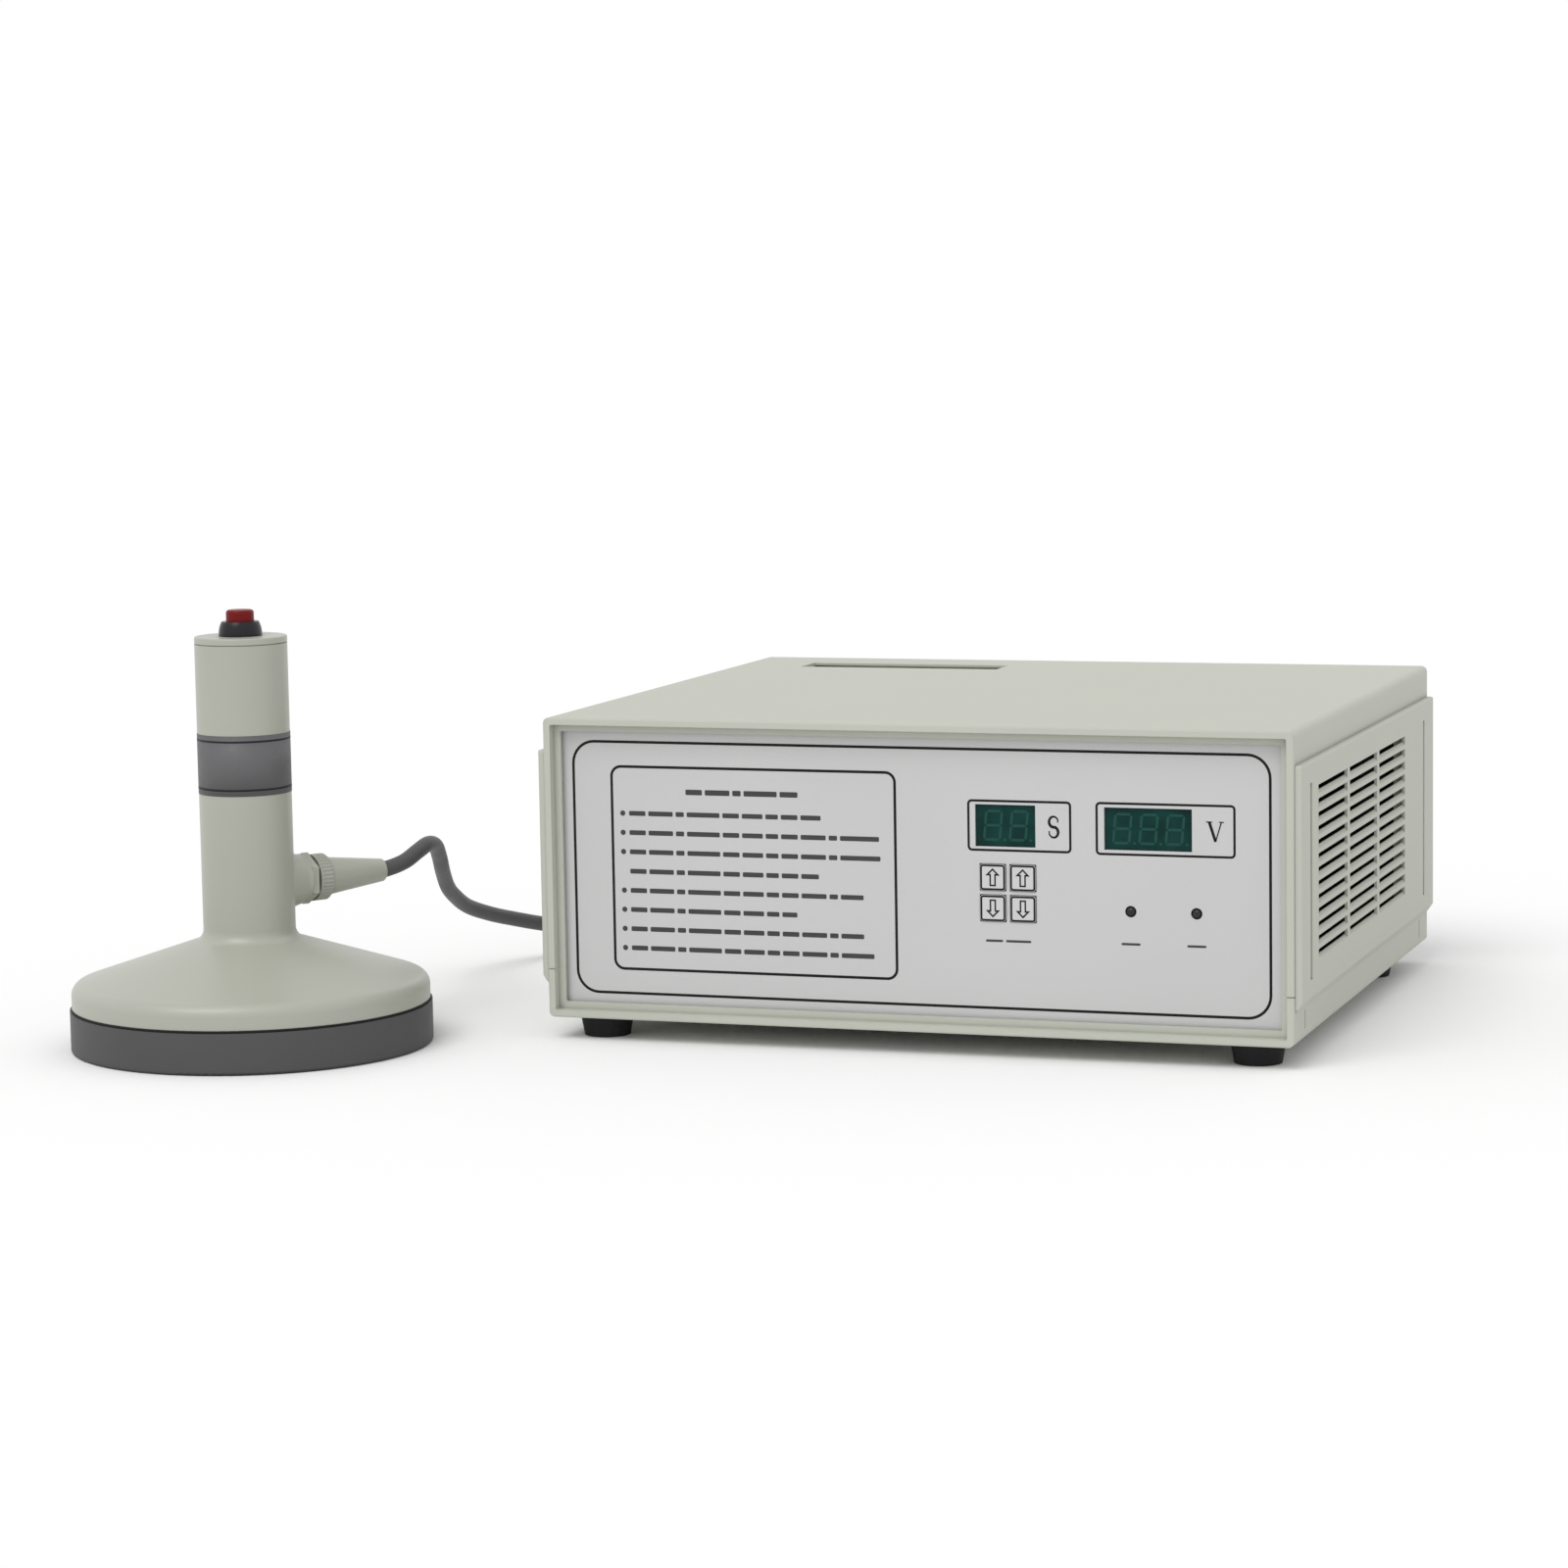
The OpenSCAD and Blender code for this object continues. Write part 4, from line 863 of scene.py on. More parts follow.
FERRITE = MattRubber(
    "ferrite", shade(64, 64, 70), 0.6, 0.3 * MM,
    tones=(1.0, 1.18), marks=(Marks(By.EDGES, share=0.35, tone=1.69),),
)
ZINC_STEEL = WorkedMetal("zinc_steel", shade(196, 197, 200), 0.34, 0.15 * MM)
# Dark steel of the flat crosses on the rear screws: painted shade of their recesses.
SHADED_STEEL = WorkedMetal("shaded_steel", shade(58, 58, 60), 0.6, 0.05 * MM)
TURNED_BRASS = WorkedMetal("turned_brass", shade(206, 172, 96), 0.3, 0.2 * MM)
SINK_ALLOY = WorkedMetal(
    "sink_alloy", shade(204, 206, 209), 0.42, 0.2 * MM,
    fine=Noise(1.0, 3.0, 0.6, Lay.ALONG_Y),
)
COPPER_WIRE = WoundWire("copper_wire", shade(196, 116, 62), 0.34, 0.3 * MM)
BOARD_MASK = SolderMask("board_mask", shade(24, 92, 48), 0.4, 0.3 * MM)
PANEL_INK = ScreenInk("panel_ink", shade(12, 12, 14), 0.5, 0.02 * MM)
TEXT_INK = ScreenInk("faded_ink", shade(66, 66, 67), 0.55, 0.02 * MM)
SEGMENT_GREY = ScreenInk("unlit_segment", shade(20, 70, 62), 0.35, 0.02 * MM)
BAND_INK = ScreenInk("band_ink", shade(30, 30, 34), 0.45, 0.02 * MM)
MARK_INK = ScreenInk("mark_ink", shade(214, 214, 210), 0.5, 0.02 * MM)

SLOT_FINISHES: dict[str, Finish] = {
    "case_plastic": CASE_PLASTIC,
    "panel_silver": PANEL_FILM,
    "rear_black": REAR_COAT,
    "window_green": WINDOW_TINT,
    "display_black": BLACK_PLASTIC,
    "key_film": KEY_FILM,
    "lamp_lens": LAMP_LENS,
    "board_green": BOARD_MASK,
    "spacer_brass": TURNED_BRASS,
    "bright_steel": ZINC_STEEL,
    "sink_alloy": SINK_ALLOY,
    "ferrite": FERRITE,
    "copper_wire": COPPER_WIRE,
    "capacitor_sleeve": CAP_SLEEVE,
    "fan_black": BLACK_PLASTIC,
    "head_plastic": HEAD_PLASTIC,
    "trigger_red": TRIGGER_RED,
    "sole_grey": SOLE_PLASTIC,
    "foot_rubber": FOOT_RUBBER,
    "cable_jacket": CABLE_JACKET,
}
NODE_FINISHES: dict[str, Finish] = {"switch_bezel": COLLAR_BLACK}


class Paintbox:
    """Makes each finish's material once, and fits pieces with it."""

    def __init__(self) -> None:
        """Starts with no material made."""
        self._made: dict[str, bpy.types.Material] = {}

    def dress(self, piece: bpy.types.Object, finish: Finish) -> None:
        """Puts a finish on every material slot of a piece.

        Args:
            piece: object that is dressed.
            finish: its finish.
        """
        if finish.name not in self._made:
            self._made[finish.name] = finish.build()
        slots = piece.data.materials
        if not slots:
            slots.append(None)
        for number in range(len(slots)):
            slots[number] = self._made[finish.name]
        LOG.info("%s: %s", piece.name, finish.name)

    def fit(
        self,
        piece: bpy.types.Object,
        finish: Finish,
        body: str = MAIN_BODY,
    ) -> None:
        """Dresses a new piece and puts it on its body.

        Args:
            piece: the new piece.
            finish: its finish.
            body: body that carries it.
        """
        self.dress(piece, finish)
        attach(piece, body)


@dataclass(frozen=True)
class Face:
    """A flat face that print lies on, with its own right and up."""

    origin: Vector
    right: Vector
    up: Vector

    def at(self, point: Point, lift: float) -> Vector:
        """Gives a point of the face in space.

        Args:
            point: right and up of the point, in millimetres.
            lift: height over the face, in millimetres.

        Returns:
            The point in metres.
        """
        out = self.right.cross(self.up)
        shift = self.right * point[0] + self.up * point[1] + out * lift
        return self.origin + shift * MM


@dataclass(frozen=True)
class RoundBox:
    """A rectangle with rounded corners on a face, in millimetres."""

    left: float
    bottom: float
    right: float
    top: float
    radius: float
    steps: int = CORNER_STEPS

    @classmethod
    def about(
        cls, middle: Point, half: Point, radius: float, steps: int = CORNER_STEPS
    ) -> RoundBox:
        """Gives the box round a middle, from half its width and height."""
        (x, y), (w, h) = middle, half
        return cls(x - w, y - h, x + w, y + h, radius, steps)

    def inset(self, width: float) -> RoundBox:
        """Gives the box that lies a width inside this one.

        Args:
            width: how far each side moves.

        Returns:
            The inner box, with as many points.
        """
        return RoundBox(
            self.left + width,
            self.bottom + width,
            self.right - width,
            self.top - width,
            max(self.radius - width, SHARPEST_CORNER),
            self.steps,
        )

    def loop(self) -> list[Point]:
        """Gives the outline.

        Returns:
            Its points, anticlockwise.
        """
        r = self.radius
        corners = (
            (self.right - r, self.top - r, 0.0),
            (self.left + r, self.top - r, 90.0),
            (self.left + r, self.bottom + r, 180.0),
            (self.right - r, self.bottom + r, 270.0),
        )
        points = []
        for x, y, start in corners:
            for step in range(self.steps + 1):
                angle = math.radians(start + 90.0 * step / self.steps)
                points.append((x + r * math.cos(angle), y + r * math.sin(angle)))
        return points


class Ink:
    """Gathers thin closed shapes on a face and makes one mesh of them."""

    def __init__(self, face: Face) -> None:
        """Starts with nothing printed on the face."""
        self.face = face
        self.mesh = bmesh.new()

    def _loop(self, points: Sequence[Point], lift: float) -> list[bmesh.types.BMVert]:
        """Adds the points of a loop at one height."""
        return [self.mesh.verts.new(self.face.at(point, lift)) for point in points]

    def fill(self, points: Sequence[Point]) -> None:
        """Prints a filled shape.

        Args:
            points: its outline, anticlockwise, in millimetres.
        """
        low, high = self._loop(points, 0.0), self._loop(points, INK_HEIGHT)
        self.mesh.faces.new(high)
        self.mesh.faces.new(low[::-1])
        for i in range(len(points)):
            self.mesh.faces.new((low[i - 1], low[i], high[i], high[i - 1]))

    def band(self, left: Sequence[Point], right: Sequence[Point], closed: bool) -> None:
        """Prints the strip between two lines of as many points.

        Args:
            left: outer line, in millimetres.
            right: inner line, in millimetres.
            closed: whether the strip runs round into itself.
        """
        corners = ((left, 0.0), (left, INK_HEIGHT), (right, INK_HEIGHT), (right, 0.0))
        skin(self.mesh, [self._loop(line, lift) for line, lift in corners], closed)

    def outline(self, box: RoundBox, width: float) -> None:
        """Prints the outline of a rounded box, inside its edge."""
        self.band(box.loop(), box.inset(width).loop(), True)

    def piece(self, name: str) -> bpy.types.Object:
        """Makes the printed object."""
        return mesh_object(name, self.mesh)


def inset_loop(points: Sequence[Point], width: float) -> list[Point]:
    """Moves the sides of a shape inwards.

    Args:
        points: outline, anticlockwise, in millimetres.
        width: how far each side moves.

    Returns:
        The inner outline, with as many points.
    """
    inner = []
    count = len(points)
    for i in range(count):
        before, here, after = points[i - 1], points[i], points[(i + 1) % count]
        sides = []
        for a, b in ((before, here), (here, after)):
            dx, dy = b[0] - a[0], b[1] - a[1]
            size = math.hypot(dx, dy)
            sides.append((-dy / size, dx / size))
        (ax, ay), (bx, by) = sides
        share = width / (1.0 + ax * bx + ay * by)
        inner.append((here[0] + (ax + bx) * share, here[1] + (ay + by) * share))
    return inner


def stroke(
    path: Sequence[Point], widths: Sequence[float]
) -> tuple[list[Point], list[Point]]:
    """Widens a line into the two sides of a pen stroke.

    Args:
        path: points of the line, in millimetres.
        widths: width of the stroke at each point.

    Returns:
        The stroke's two sides.
    """
    left, right = [], []
    for i, (x, y) in enumerate(path):
        before = path[max(i - 1, 0)]
        after = path[min(i + 1, len(path) - 1)]
        dx, dy = after[0] - before[0], after[1] - before[1]
        share = widths[i] / 2.0 / math.hypot(dx, dy)
        left.append((x - dy * share, y + dx * share))
        right.append((x + dy * share, y - dx * share))
    return left, right


@dataclass(frozen=True)
class Studio:
    """Camera, soft light and a white floor."""

    eye: Triple = (928.3, -1884.7, 370.3)
    azimuth: float = 19.066
    elevation: float = 6.76
    roll: float = -0.964
    focal_pixels: float = 4407.8
    image_pixels: float = 1600.0
    sensor: float = 36.0
    clip: Span = (0.05, 200.0)
    ambient: float = 0.75
    lamp_strength: float = 1.0
    lamp_spread: float = 36.0
    lamp_heading: Triple = (0.16, 0.7, -1.0)
    floor_half: float = 30.0
    floor_drop: float = 0.15 * MM
    floor_grey: Colour = (0.86, 0.86, 0.86)
    paper_scale: float = 700.0
    paper_roughness: Span = (0.85, 0.95)

    def camera(self) -> None:
        """Sets the camera at the photograph's angle."""
        data = bpy.data.cameras.new("photo_camera")
        data.sensor_width = self.sensor
        data.lens = self.focal_pixels / self.image_pixels * self.sensor
        data.clip_start, data.clip_end = self.clip
        made = linked("photo_camera", data)
        place = Matrix.Translation(Vector(self.eye) * MM)
        for angle, axis in (
            (self.azimuth, "Z"),
            (90.0 - self.elevation, "X"),
            (self.roll, "Z"),
        ):
            place = place @ Matrix.Rotation(math.radians(angle), 4, axis)
        made.matrix_world = place
        bpy.context.scene.camera = made

    def seen(self, graph: Graph) -> Signal:
        """Tells rays that show the background from those that light the object.

        Args:
            graph: nodes of the world or the floor.

        Returns:
            1 for camera, mirror and glass rays, and 0 for others.
        """
        camera, mirror, glass = (
            graph.node("ShaderNodeLightPath", output=f"Is {kind} Ray")
            for kind in ("Camera", "Glossy", "Transmission")
        )
        return (camera + mirror + glass).least(1.0)

    def light(self) -> None:
        """Sets the even sky and one soft lamp from the upper left."""
        world = bpy.data.worlds.new("studio_sky")
        graph = Graph(world)
        strength = self.ambient + self.seen(graph) * (1.0 - self.ambient)
        glow = {"Color": WHITE, "Strength": strength}
        sky = graph.node("ShaderNodeBackground", None, glow)
        graph.node("ShaderNodeOutputWorld", None, {"Surface": sky})
        bpy.context.scene.world = world
        data = bpy.data.lights.new("soft_lamp", "SUN")
        data.energy = self.lamp_strength
        data.angle = math.radians(self.lamp_spread)
        made = linked("soft_lamp", data)
        made.rotation_mode = "QUATERNION"
        made.rotation_quaternion = Vector(self.lamp_heading).to_track_quat("-Z", "Y")

    def floor(self) -> None:
        """Lays the white floor that takes the shadows."""
        material = bpy.data.materials.new("studio_floor")
        graph = Graph(material)
        place = graph.node("ShaderNodeTexCoord", output="Object")
        spots = {"Vector": place, "Scale": self.paper_scale}
        paper = graph.node("ShaderNodeTexNoise", None, spots)
        look = {
            "Base Color": self.seen(graph).blend(self.floor_grey, WHITE),
            "Roughness": paper.between(*NOISE_SPAN, *self.paper_roughness),
            "Specular IOR Level": 0.0,
        }
        shader = graph.node("ShaderNodeBsdfPrincipled", None, look)
        graph.node("ShaderNodeOutputMaterial", None, {"Surface": shader})
        mesh = bmesh.new()
        lower = Matrix.Translation(UPWARD * -self.floor_drop)
        bmesh.ops.create_grid(
            mesh, x_segments=2, y_segments=2, size=self.floor_half, matrix=lower
        )
        made = mesh_object("studio_floor", mesh)
        made.data.materials.append(material)

    def build(self) -> None:
        """Sets the whole studio."""
        self.camera()
        self.light()
        self.floor()
        bpy.context.scene.view_settings.view_transform = "Standard"
        LOG.info("studio")


@dataclass(frozen=True)
class HeadCable:
    """The cable from the sealing head round to the rear of the case."""

    diameter: float = 8.0
    head_exit: Triple = (43.534, 62.174, 78.4)
    head_angle: float = 55.0
    case_exit: Triple = (280.0, 412.1, 61.0)
    hidden: float = 12.0
    handle_share: float = 6.0
    span_steps: int = 8
    round_steps: int = 7
    measure_steps: int = 16
    route: tuple[Triple, ...] = (
        (50, 73, 81), (53, 84, 85), (53, 97, 87), (50, 113, 84),
        (43, 134, 75), (35, 156, 64), (28, 178, 53), (24, 197, 45),
        (23, 216, 37), (26, 238, 30), (31, 256, 25), (41, 278, 19),
        (57, 303, 13), (77, 330, 8), (101, 357, 5), (130, 381, 4),
        (165, 398, 4), (210, 406, 4), (260, 408, 4), (310, 408, 4),
        (358, 409, 4), (400, 414, 4), (432, 429, 4), (448, 456, 4),
        (441, 486, 4), (417, 506, 5), (385, 512, 12), (352, 509, 26),
        (322, 498, 42), (299, 479, 54), (285, 456, 60), (281, 434, 61),
    )

    def knots(self) -> list[Vector]:
        """Gives the points of the cable's centre line.

        Returns:
            The points in metres, with a little in the boot at both ends.
        """
        angle = math.radians(self.head_angle)
        out = Vector((math.cos(angle), math.sin(angle), 0.0))
        start, end = Vector(self.head_exit), Vector(self.case_exit)
        inner = start - out * self.hidden
        last = end - Vector((0.0, self.hidden, 0.0))
        return [Vector(p) * MM for p in (inner, start, *self.route, end, last)]

    def slopes(self, knots: list[Vector]) -> list[Vector]:
        """Gives each knot's handle, from the knots before and after it."""
        pairs = zip(knots[:1] + knots[:-1], knots[1:] + knots[-1:])
        return [(after - before) / self.handle_share for before, after in pairs]

    def length(self, knots: list[Vector], slopes: list[Vector]) -> float:
        """Measures the smooth curve through the knots.

        Args:
            knots: points of the curve, in metres.
            slopes: their handles.

        Returns:
            The length in metres.
        """
        total = 0.0
        ends = list(zip(knots, slopes))
        for (a, out), (b, back) in zip(ends, ends[1:]):
            spots = geometry.interpolate_bezier(
                a, a + out, b - back, b, self.measure_steps + 1
            )
            total += sum((q - p).length for p, q in zip(spots, spots[1:]))
        return total

    def build(self, paint: Paintbox) -> None:
        """Makes the cable.

        Args:
            paint: materials.
        """
        knots = self.knots()
        slopes = self.slopes(knots)
        data = bpy.data.curves.new("head_lead", "CURVE")
        data.dimensions = "3D"
        data.bevel_depth = self.diameter / 2.0 * MM
        data.bevel_resolution = self.round_steps
        data.resolution_u = self.span_steps
        data.use_fill_caps = True
        spline = data.splines.new("BEZIER")
        spline.bezier_points.add(len(knots) - 1)
        for point, knot, slope in zip(spline.bezier_points, knots, slopes):
            point.handle_left_type = point.handle_right_type = "FREE"
            point.co = knot
            point.handle_left = knot - slope
            point.handle_right = knot + slope
        made = linked("head_lead", data)
        paint.fit(made, CABLE_JACKET)
        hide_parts("head_cable")
        round(self.length(knots, slopes), 3)


@dataclass(frozen=True)
class SecondsLetter:
    """The unit letter of seconds: two bowls of one pen stroke, and two serifs."""

    middle: Point = (68.6, 98.9)
    bowl: Point = (2.2, 2.5)
    bowl_levels: Span = (2.4, -2.5)
    bowl_starts: Span = (20.0, 90.0)
    bowl_sweeps: Span = (250.0, -250.0)
    bowl_steps: int = 14
    pen: float = 0.6
    swell: float = 0.8
    serifs: tuple[Point, ...] = ((70.6, 101.95), (66.5, 96.05))
    serif_half: Point = (0.3, 0.95)
    serif_corner: float = 0.2

    def draw(self, ink: Ink) -> None:
        """Prints the letter.

        Args:
            ink: shapes that the letter joins.
        """
        path, widths = [], []
        for step in range(2 * self.bowl_steps + 1):
            lower = int(step > self.bowl_steps)
            turn = step / self.bowl_steps - lower
            angle = math.radians(
                self.bowl_starts[lower] + self.bowl_sweeps[lower] * turn
            )
            rise = self.bowl_levels[lower] + self.bowl[1] * math.sin(angle)
            x, y = self.middle
            path.append((x + self.bowl[0] * math.cos(angle), y + rise))
            share = step / (2 * self.bowl_steps)
            widths.append(self.pen + self.swell * math.sin(math.pi * share))
        ink.band(*stroke(path, widths), False)
        for spot in self.serifs:
            box = RoundBox.about(
                spot, self.serif_half, self.serif_corner, SMALL_STEPS
            )
            ink.fill(box.loop())


@dataclass(frozen=True)
class VoltsLetter:
    """The unit letter of volts: a thick stroke, a thin one, and two serifs."""

    middle: Point = (146.1, 98.6)
    half: Point = (2.9, 4.6)
    foot: float = 0.1
    pens: Span = (1.35, 0.6)
    serifs: Span = (1.5, 1.2)
    serif_level: float = 4.55
    serif_half: float = 0.25
    serif_corner: float = 0.15

    def draw(self, ink: Ink) -> None:
        """Prints the letter.

        Args:
            ink: shapes that the letter joins.
        """
        x, y = self.middle
        wide, tall = self.half
        for side, pen, serif in zip((-wide, wide), self.pens, self.serifs):
            path = [(x + side, y + tall), (x + self.foot, y - tall)]
            ink.band(*stroke(path, [pen, pen]), False)
            spot, half = (x + side, y + self.serif_level), (serif, self.serif_half)
            box = RoundBox.about(spot, half, self.serif_corner, SMALL_STEPS)
            ink.fill(box.loop())


@dataclass(frozen=True)
class PanelPrint:
    """Lines, rows and letters on the front panel, in the panel's millimetres."""

    border: RoundBox = RoundBox(-173.4, 11.2, 172.7, 135.5, 11.5)
    rows_frame: RoundBox = RoundBox(-153.7, 23.2, -8.6, 123.5, 5.4)
    time_frame: RoundBox = RoundBox(26.5, 86.6, 77.2, 111.1, 2.2)
    voltage_frame: RoundBox = RoundBox(88.9, 86.3, 155.7, 111.3, 2.2)
    line: float = 1.3
    frame_line: float = 1.1
    heading: Triple = (-115.0, -58.0, 111.0)
    heading_height: float = 2.6
    row_start: float = -144.3
    row_height: float = 2.3
    rows: tuple[tuple[float, float, bool], ...] = (
        (-46.5, 100.1, True),
        (-17.4, 90.7, True),
        (-16.8, 81.3, True),
        (-47.8, 71.8, False),
        (-25.5, 62.4, True),
        (-59.0, 53.0, True),
        (-25.5, 43.6, True),
        (-20.5, 34.2, True),
    )
    bars: tuple[float, ...] = (8.4, 12.6, 4.2, 16.8, 8.4, 10.5, 6.3)
    bar_gap: float = 1.5
    bar_corner: float = 0.5
    least_bar: float = 1.0
    least_rest: float = 3.0
    bullet_x: float = -147.6
    bullet_r: float = 1.3
    bullet_roundness: float = 0.98
    bullet_steps: int = 5
    captions: tuple[Triple, ...] = (
        (35.0, 57.2, 44.0),
        (101.0, 110.1, 44.6),
        (132.5, 141.6, 44.6),
    )
    caption_height: float = 1.1

    def _row(self, ink: Ink, place: Triple, height: float) -> None:
        """Prints a row of plain bars.

        Args:
            ink: shapes that the bars join.
            place: left end, right end and middle level of the row.
            height: height of the bars.
        """
        x, end, level = place
        low, high = level - height / 2.0, level + height / 2.0
        turn = 0
        while x < end - self.least_bar:
            stop = min(x + self.bars[turn % len(self.bars)], end)
            if end - stop < self.bar_gap + self.least_rest:
                stop = end
            bar = RoundBox(x, low, stop, high, self.bar_corner, SMALL_STEPS)
            ink.fill(bar.loop())
            x = stop + self.bar_gap
            turn += 1

    def build(self, paint: Paintbox, face: Face) -> None:
        """Prints the panel.

        Args:
            paint: materials.
            face: the panel's front, with its middle at the case's underside.
        """
        lines = Ink(face)
        for box in (self.border, self.rows_frame):
            lines.outline(box, self.line)
        for box in (self.time_frame, self.voltage_frame):
            lines.outline(box, self.frame_line)
        SecondsLetter().draw(lines)
        VoltsLetter().draw(lines)
        paint.fit(lines.piece("panel_lines"), PANEL_INK)
        rows = Ink(face)
        self._row(rows, self.heading, self.heading_height)
        r = self.bullet_r
        for end, level, marked in self.rows:
            self._row(rows, (self.row_start, end, level), self.row_height)
            if marked:
                spot, corner = (self.bullet_x, level), r * self.bullet_roundness
                dot = RoundBox.about(spot, (r, r), corner, self.bullet_steps)
                rows.fill(dot.loop())
        for place in self.captions:
            self._row(rows, place, self.caption_height)
        paint.fit(rows.piece("panel_rows"), TEXT_INK)


@dataclass(frozen=True)
class DisplayDigits:
    """Unlit seven-segment digits on the fronts of the two windows."""

    height: float = 13.6
    width: float = 7.6
    bar: float = 1.25
    joint: float = 0.5
    pitch: float = 12.6
    slant: float = 0.09
    level: float = 98.8
    dot_share: float = 0.55
    dot_gap: float = 1.3
    dot_roundness: float = 0.95
    dot_steps: int = 4
    displays: tuple[tuple[str, float, int], ...] = (
        ("time_digits", 45.0, 2),
        ("voltage_digits", 114.0, 3),
    )

    def _segment(self, ink: Ink, origin: Point, middle: Point, upright: bool) -> None:
        """Prints one pointed segment.

        Args:
            ink: shapes that the segment joins.
            origin: the digit's middle on the panel.
            middle: the segment's middle, from the digit's middle.
            upright: whether it stands.
        """
        side = self.height / 2.0 if upright else self.width
        half, thick = (side - self.joint) / 2.0, self.bar / 2.0
        shape = (
            (-half, 0.0),
            (-half + thick, -thick),
            (half - thick, -thick),
            (half, 0.0),
            (half - thick, thick),
            (-half + thick, thick),
        )
        points = []
        for along, across in shape:
            x, y = (-across, along) if upright else (along, across)
            x, y = x + middle[0], y + middle[1]
            points.append((origin[0] + x + y * self.slant, origin[1] + y))
        ink.fill(points)

    def _digit(self, ink: Ink, x: float) -> None:
        """Prints one digit with all its segments and its point.

        Args:
            ink: shapes that the digit joins.
            x: the digit's middle.
        """
        side, rise = self.width / 2.0, self.height / 4.0
        for y in (-2.0 * rise, 0.0, 2.0 * rise):
            self._segment(ink, (x, self.level), (0.0, y), False)
        for y in (-rise, rise):
            for edge in (-side, side):
                self._segment(ink, (x, self.level), (edge, y), True)
        r = self.bar * self.dot_share
        spot = (x + side + self.dot_gap + r, self.level - 2.0 * rise)
        corner = r * self.dot_roundness
        ink.fill(RoundBox.about(spot, (r, r), corner, self.dot_steps).loop())

    def build(self, paint: Paintbox, face: Face) -> None:
        """Prints the digits of both displays.

        Args:
            paint: materials.
            face: front of the windows, with its middle at the case's underside.
        """
        for name, middle, count in self.displays:
            ink = Ink(face)
            for number in range(count):
                self._digit(ink, middle + (number - (count - 1) / 2.0) * self.pitch)
            paint.fit(ink.piece(name), SEGMENT_GREY)


@dataclass(frozen=True)
class KeyLegends:
    """Outlines and arrows on the four setting keys."""

    half: float = 6.1
    corner: float = 1.5
    line: float = 0.9
    arrow_line: float = 0.72
    middle: Point = (46.1, 66.9)
    reach: float = 7.35
    half_shaft: float = 1.55
    half_head: float = 3.5
    neck: float = 0.9
    tip: float = 4.4
    tail: float = 4.2

    def arrow(self, centre: Point, sign: float) -> list[Point]:
        """Gives a block arrow's outline.

        Args:
            centre: the key's middle.
            sign: 1 to point up and -1 to point down.

        Returns:
            The outline, anticlockwise.
        """
        shape = (
            (0.0, self.tip),
            (-self.half_head, self.neck),
            (-self.half_shaft, self.neck),
            (-self.half_shaft, -self.tail),
            (self.half_shaft, -self.tail),
            (self.half_shaft, self.neck),
            (self.half_head, self.neck),
        )
        return [(centre[0] + sign * x, centre[1] + sign * y) for x, y in shape]

    def build(self, paint: Paintbox, face: Face) -> None:
        """Prints each key's legend on its own body.

        Args:
            paint: materials.
            face: front of the keys, with its middle at the case's underside.
        """
        for row, sign in (("up", 1.0), ("down", -1.0)):
            for column, side in (("tens", -1.0), ("units", 1.0)):
                x, y = self.middle
                spot = (x + side * self.reach, y + sign * self.reach)
                box = RoundBox.about(spot, (self.half, self.half), self.corner)
                ink = Ink(face)
                ink.outline(box, self.line)
                outer = self.arrow(spot, sign)
                ink.band(outer, inset_loop(outer, self.arrow_line), True)
                key = f"{column}_{row}"
                legend = ink.piece(f"{key}_legend")
                paint.fit(legend, PANEL_INK, f"{key}_button")


@dataclass(frozen=True)
class RockerMarks:
    """The stroke and the ring that mark on and off on the power rocker."""

    pivot: Triple = (198.0, 364.7, 109.0)
    tilt: float = 9.0
    dip: float = 3.2
    high: float = 4.6
    half: float = 8.5
    reach: float = 4.6
    stroke_half: Point = (0.4, 1.7)
    stroke_corner: float = 0.2
    ring_r: float = 1.7
    ring_roundness: float = 0.999
    ring_line: float = 0.6

    def face(self, side: float) -> Face:
        """Gives one of the rocker's two sloping faces at rest.

        Args:
            side: 1 for the upper face and -1 for the lower one.

        Returns:
            The face, with the mark's middle as its origin.
        """
        lean = math.atan2(self.high - self.dip, self.half) * side
        rise = self.dip + (self.high - self.dip) * self.reach / self.half
        spot = Vector((0.0, rise, self.reach * side))
        up = Vector((0.0, math.sin(lean), math.cos(lean)))
        tip = Matrix.Rotation(math.radians(self.tilt), 3, "X")
        return Face((Vector(self.pivot) + tip @ spot) * MM, -RIGHTWARD, tip @ up)

    def build(self, paint: Paintbox) -> None:
        """Prints both marks on the rocker.

        Args:
            paint: materials.
        """
        on, off = Ink(self.face(-1.0)), Ink(self.face(1.0))
        middle, r = (0.0, 0.0), self.ring_r
        line = RoundBox.about(
            middle, self.stroke_half, self.stroke_corner, SMALL_STEPS
        )
        on.fill(line.loop())
        ring = RoundBox.about(middle, (r, r), r * self.ring_roundness)
        off.outline(ring, self.ring_line)
        for ink, name in ((on, "rocker_on_mark"), (off, "rocker_off_mark")):
            paint.fit(ink.piece(name), MARK_INK, "rocker")


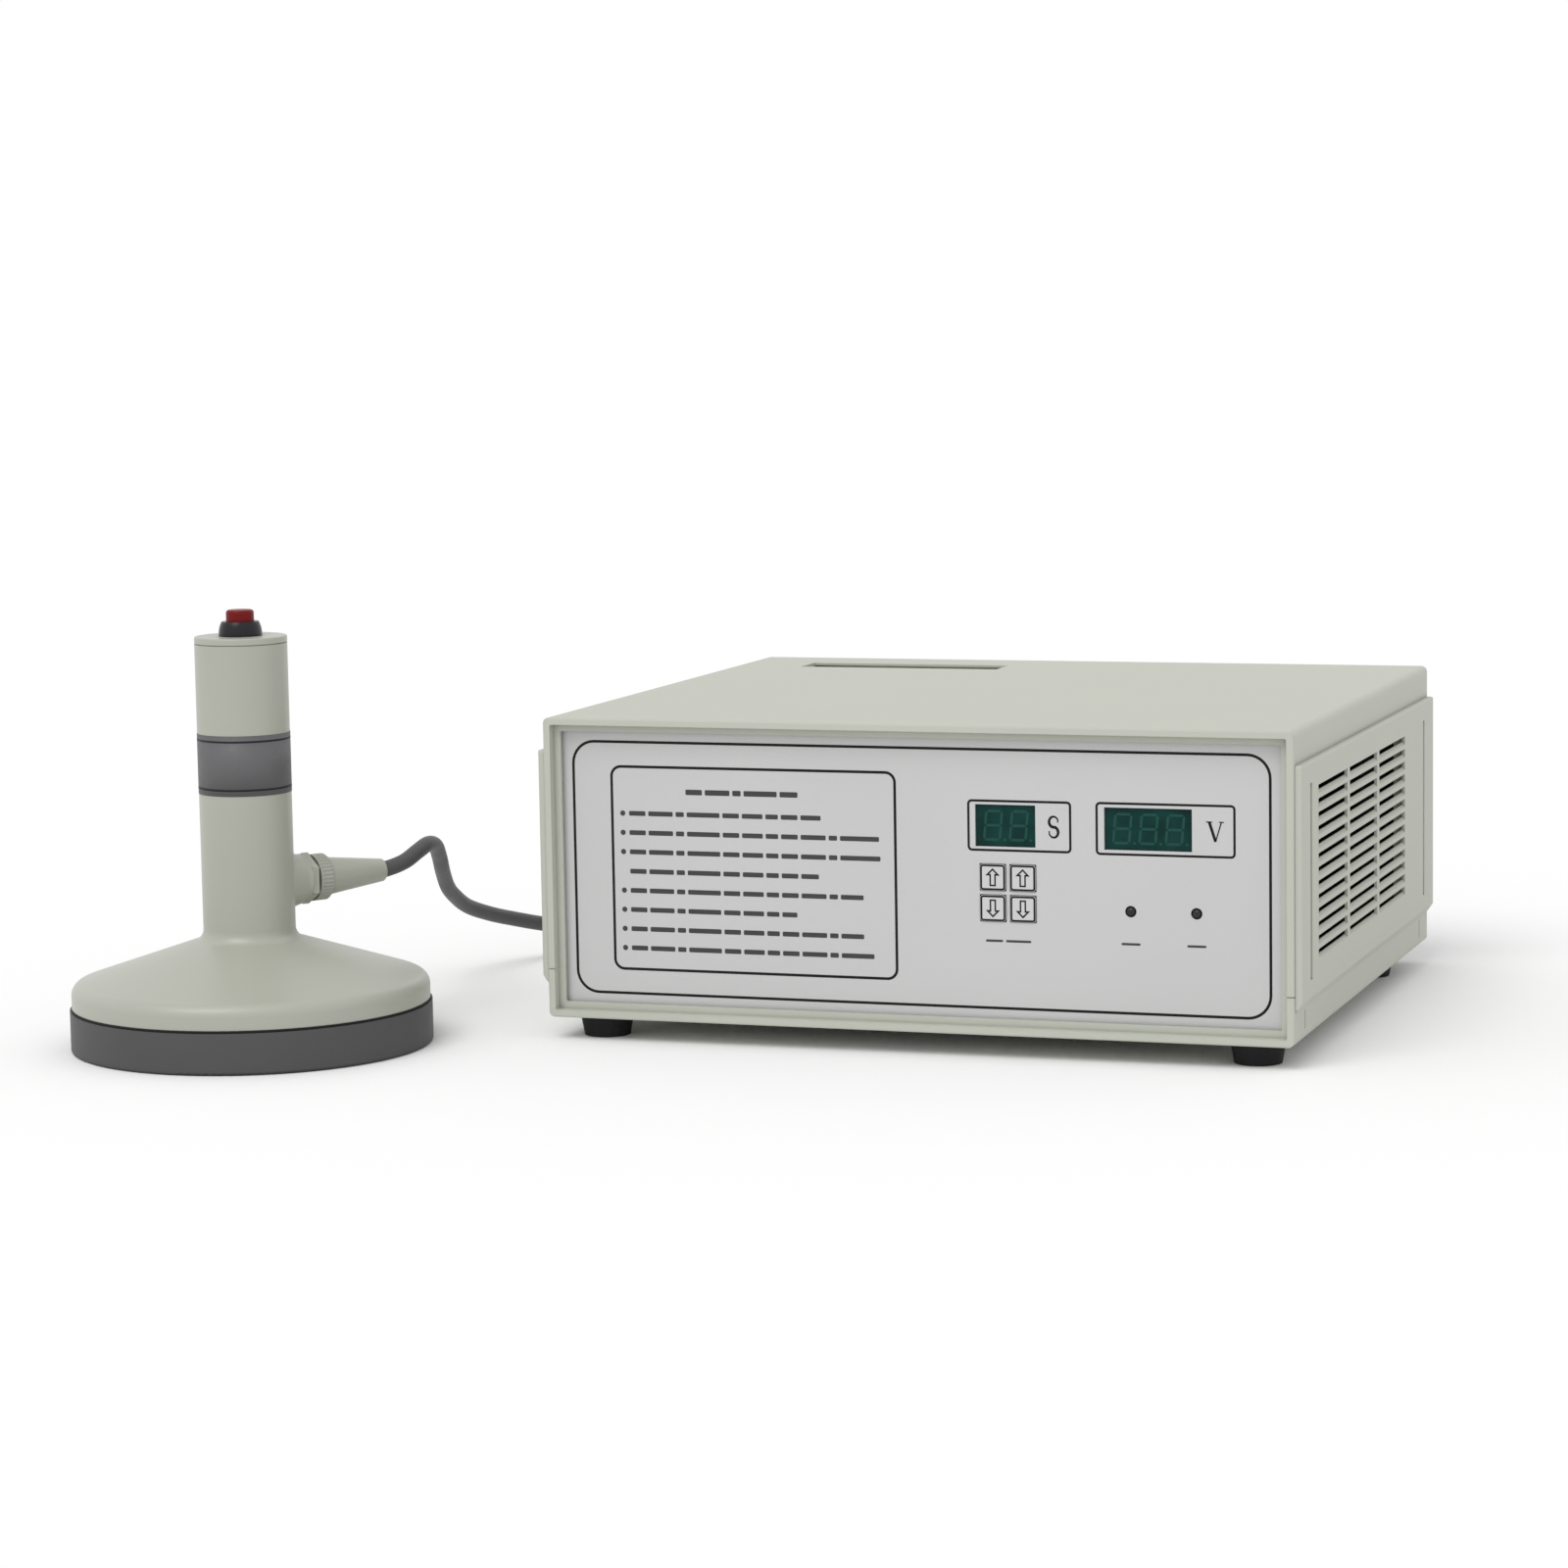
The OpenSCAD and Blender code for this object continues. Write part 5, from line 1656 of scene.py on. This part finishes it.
@dataclass(frozen=True)
class ScrewRecesses:
    """Dark crosses laid flat on one set of screw heads at the rear: painted shade for
    their cross recesses.
    """

    name: str
    middle: Point
    reach: Point
    level: float
    arm: float
    half_arm: float
    turn_step: float = 34.0

    def cross(self, centre: Point, turn: float) -> list[Point]:
        """Gives a cross's outline.

        Args:
            centre: its middle.
            turn: its turn in degrees.

        Returns:
            The outline, anticlockwise.
        """
        long, half = self.arm, self.half_arm
        (x0, y0), outline = centre, []
        for quarter in range(4):
            angle = math.radians(turn + 90.0 * quarter)
            c, s = math.cos(angle), math.sin(angle)
            for x, y in ((long, -half), (long, half), (half, half)):
                outline.append((x0 + c * x - s * y, y0 + s * x + c * y))
        return outline

    def build(self, paint: Paintbox) -> None:
        """Lays the crosses on the screws.

        Args:
            paint: materials.
        """
        ink = Ink(Face(Vector((0.0, self.level * MM, 0.0)), -RIGHTWARD, UPWARD))
        (x, z), (wide, tall) = self.middle, self.reach
        spots = [(-x - a * wide, z + b * tall) for a in (-1, 1) for b in (-1, 1)]
        for number, spot in enumerate(dict.fromkeys(spots)):
            ink.fill(self.cross(spot, self.turn_step * number))
        paint.fit(ink.piece(self.name), SHADED_STEEL)


REAR_SCREWS = (
    ScrewRecesses(
        "fan_screw_recesses", (413.0, 84.5), (35.75, 35.75), 370.4, 2.3, 0.45
    ),
    ScrewRecesses("inlet_screw_recesses", (198.0, 56.0), (20.0, 0.0), 371.2, 1.6, 0.38),
)


@dataclass(frozen=True)
class HandleBand:
    """The bare foil band round the head's handle, with its two lines."""

    radius: float = 22.4
    bottom: float = 124.0
    top: float = 153.2
    thickness: float = 0.14
    line_levels: Span = (126.9, 150.4)
    line_width: float = 0.9
    line_height: float = 0.05
    seam_angle: float = 90.0
    seam_gap: float = 3.0
    steps: int = 120

    def _hoop(self, name: str, radii: Span, levels: Span) -> bpy.types.Object:
        """Makes an open hoop of rectangular section.

        Args:
            name: name of the piece.
            radii: inner and outer radius, in millimetres.
            levels: lower and upper edge.

        Returns:
            The hoop, linked into the scene.
        """
        mesh = bmesh.new()
        (inner, outer), (low, high) = radii, levels
        start, sweep = self.seam_angle + self.seam_gap / 2.0, 360.0 - self.seam_gap
        rails = []
        for r, z in ((inner, low), (outer, low), (outer, high), (inner, high)):
            rail = []
            for step in range(self.steps + 1):
                angle = math.radians(start + sweep * step / self.steps)
                spot = Vector((r * math.cos(angle), r * math.sin(angle), z))
                rail.append(mesh.verts.new(spot * MM))
            rails.append(rail)
        skin(mesh, rails, False, smooth=(1, 3))
        return mesh_object(name, mesh)

    def build(self, paint: Paintbox) -> None:
        """Wraps the band and its lines round the handle.

        Args:
            paint: materials.
        """
        face = self.radius + self.thickness
        half = self.line_width / 2.0
        band = self._hoop("handle_band", (self.radius, face), (self.bottom, self.top))
        paint.fit(band, BAND_FOIL)
        names = ("lower_band_line", "upper_band_line")
        for name, level in zip(names, self.line_levels):
            radii = (face, face + self.line_height)
            line = self._hoop(name, radii, (level - half, level + half))
            paint.fit(line, BAND_INK)


class Sealer:
    """The whole object: its solids, their finishes and the print on them."""

    def __init__(self, frame: dict[str, Any]) -> None:
        self.frame = frame
        self.paint = Paintbox()

    def dress_solids(self) -> None:
        """Gives each solid the finish of its material slot."""
        rows = self.frame["record"]["subparts"]
        slots = {row["node"]: row["material_slot"] for row in rows}
        for name, piece in self.frame["nodes"].items():
            finish = NODE_FINISHES.get(name, SLOT_FINISHES[slots[name]])
            self.paint.dress(piece, finish)

    def face_of(self, node: str) -> Face:
        """Gives the front of a node, with the case's underside as its foot.

        Args:
            node: node whose front carries the print.

        Returns:
            The face.
        """
        low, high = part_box("base_tray")
        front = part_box(node)[0].y
        foot = Vector(((low.x + high.x) / 2.0, front, low.z))
        return Face(foot, RIGHTWARD, UPWARD)

    def build(self) -> None:
        """Dresses the solids and lays every piece of print."""
        paint = self.paint
        HeadCable().build(paint)
        self.dress_solids()
        PanelPrint().build(paint, self.face_of("front_panel"))
        DisplayDigits().build(paint, self.face_of("time_window"))
        KeyLegends().build(paint, self.face_of("tens_up_key"))
        RockerMarks().build(paint)
        for screws in REAR_SCREWS:
            screws.build(paint)
        HandleBand().build(paint)


def main() -> None:
    """Builds the studio and the sealer."""
    logging.basicConfig(level=logging.INFO)
    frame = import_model()
    Studio().build()
    Sealer(frame).build()


if __name__ == "__main__":
    main()
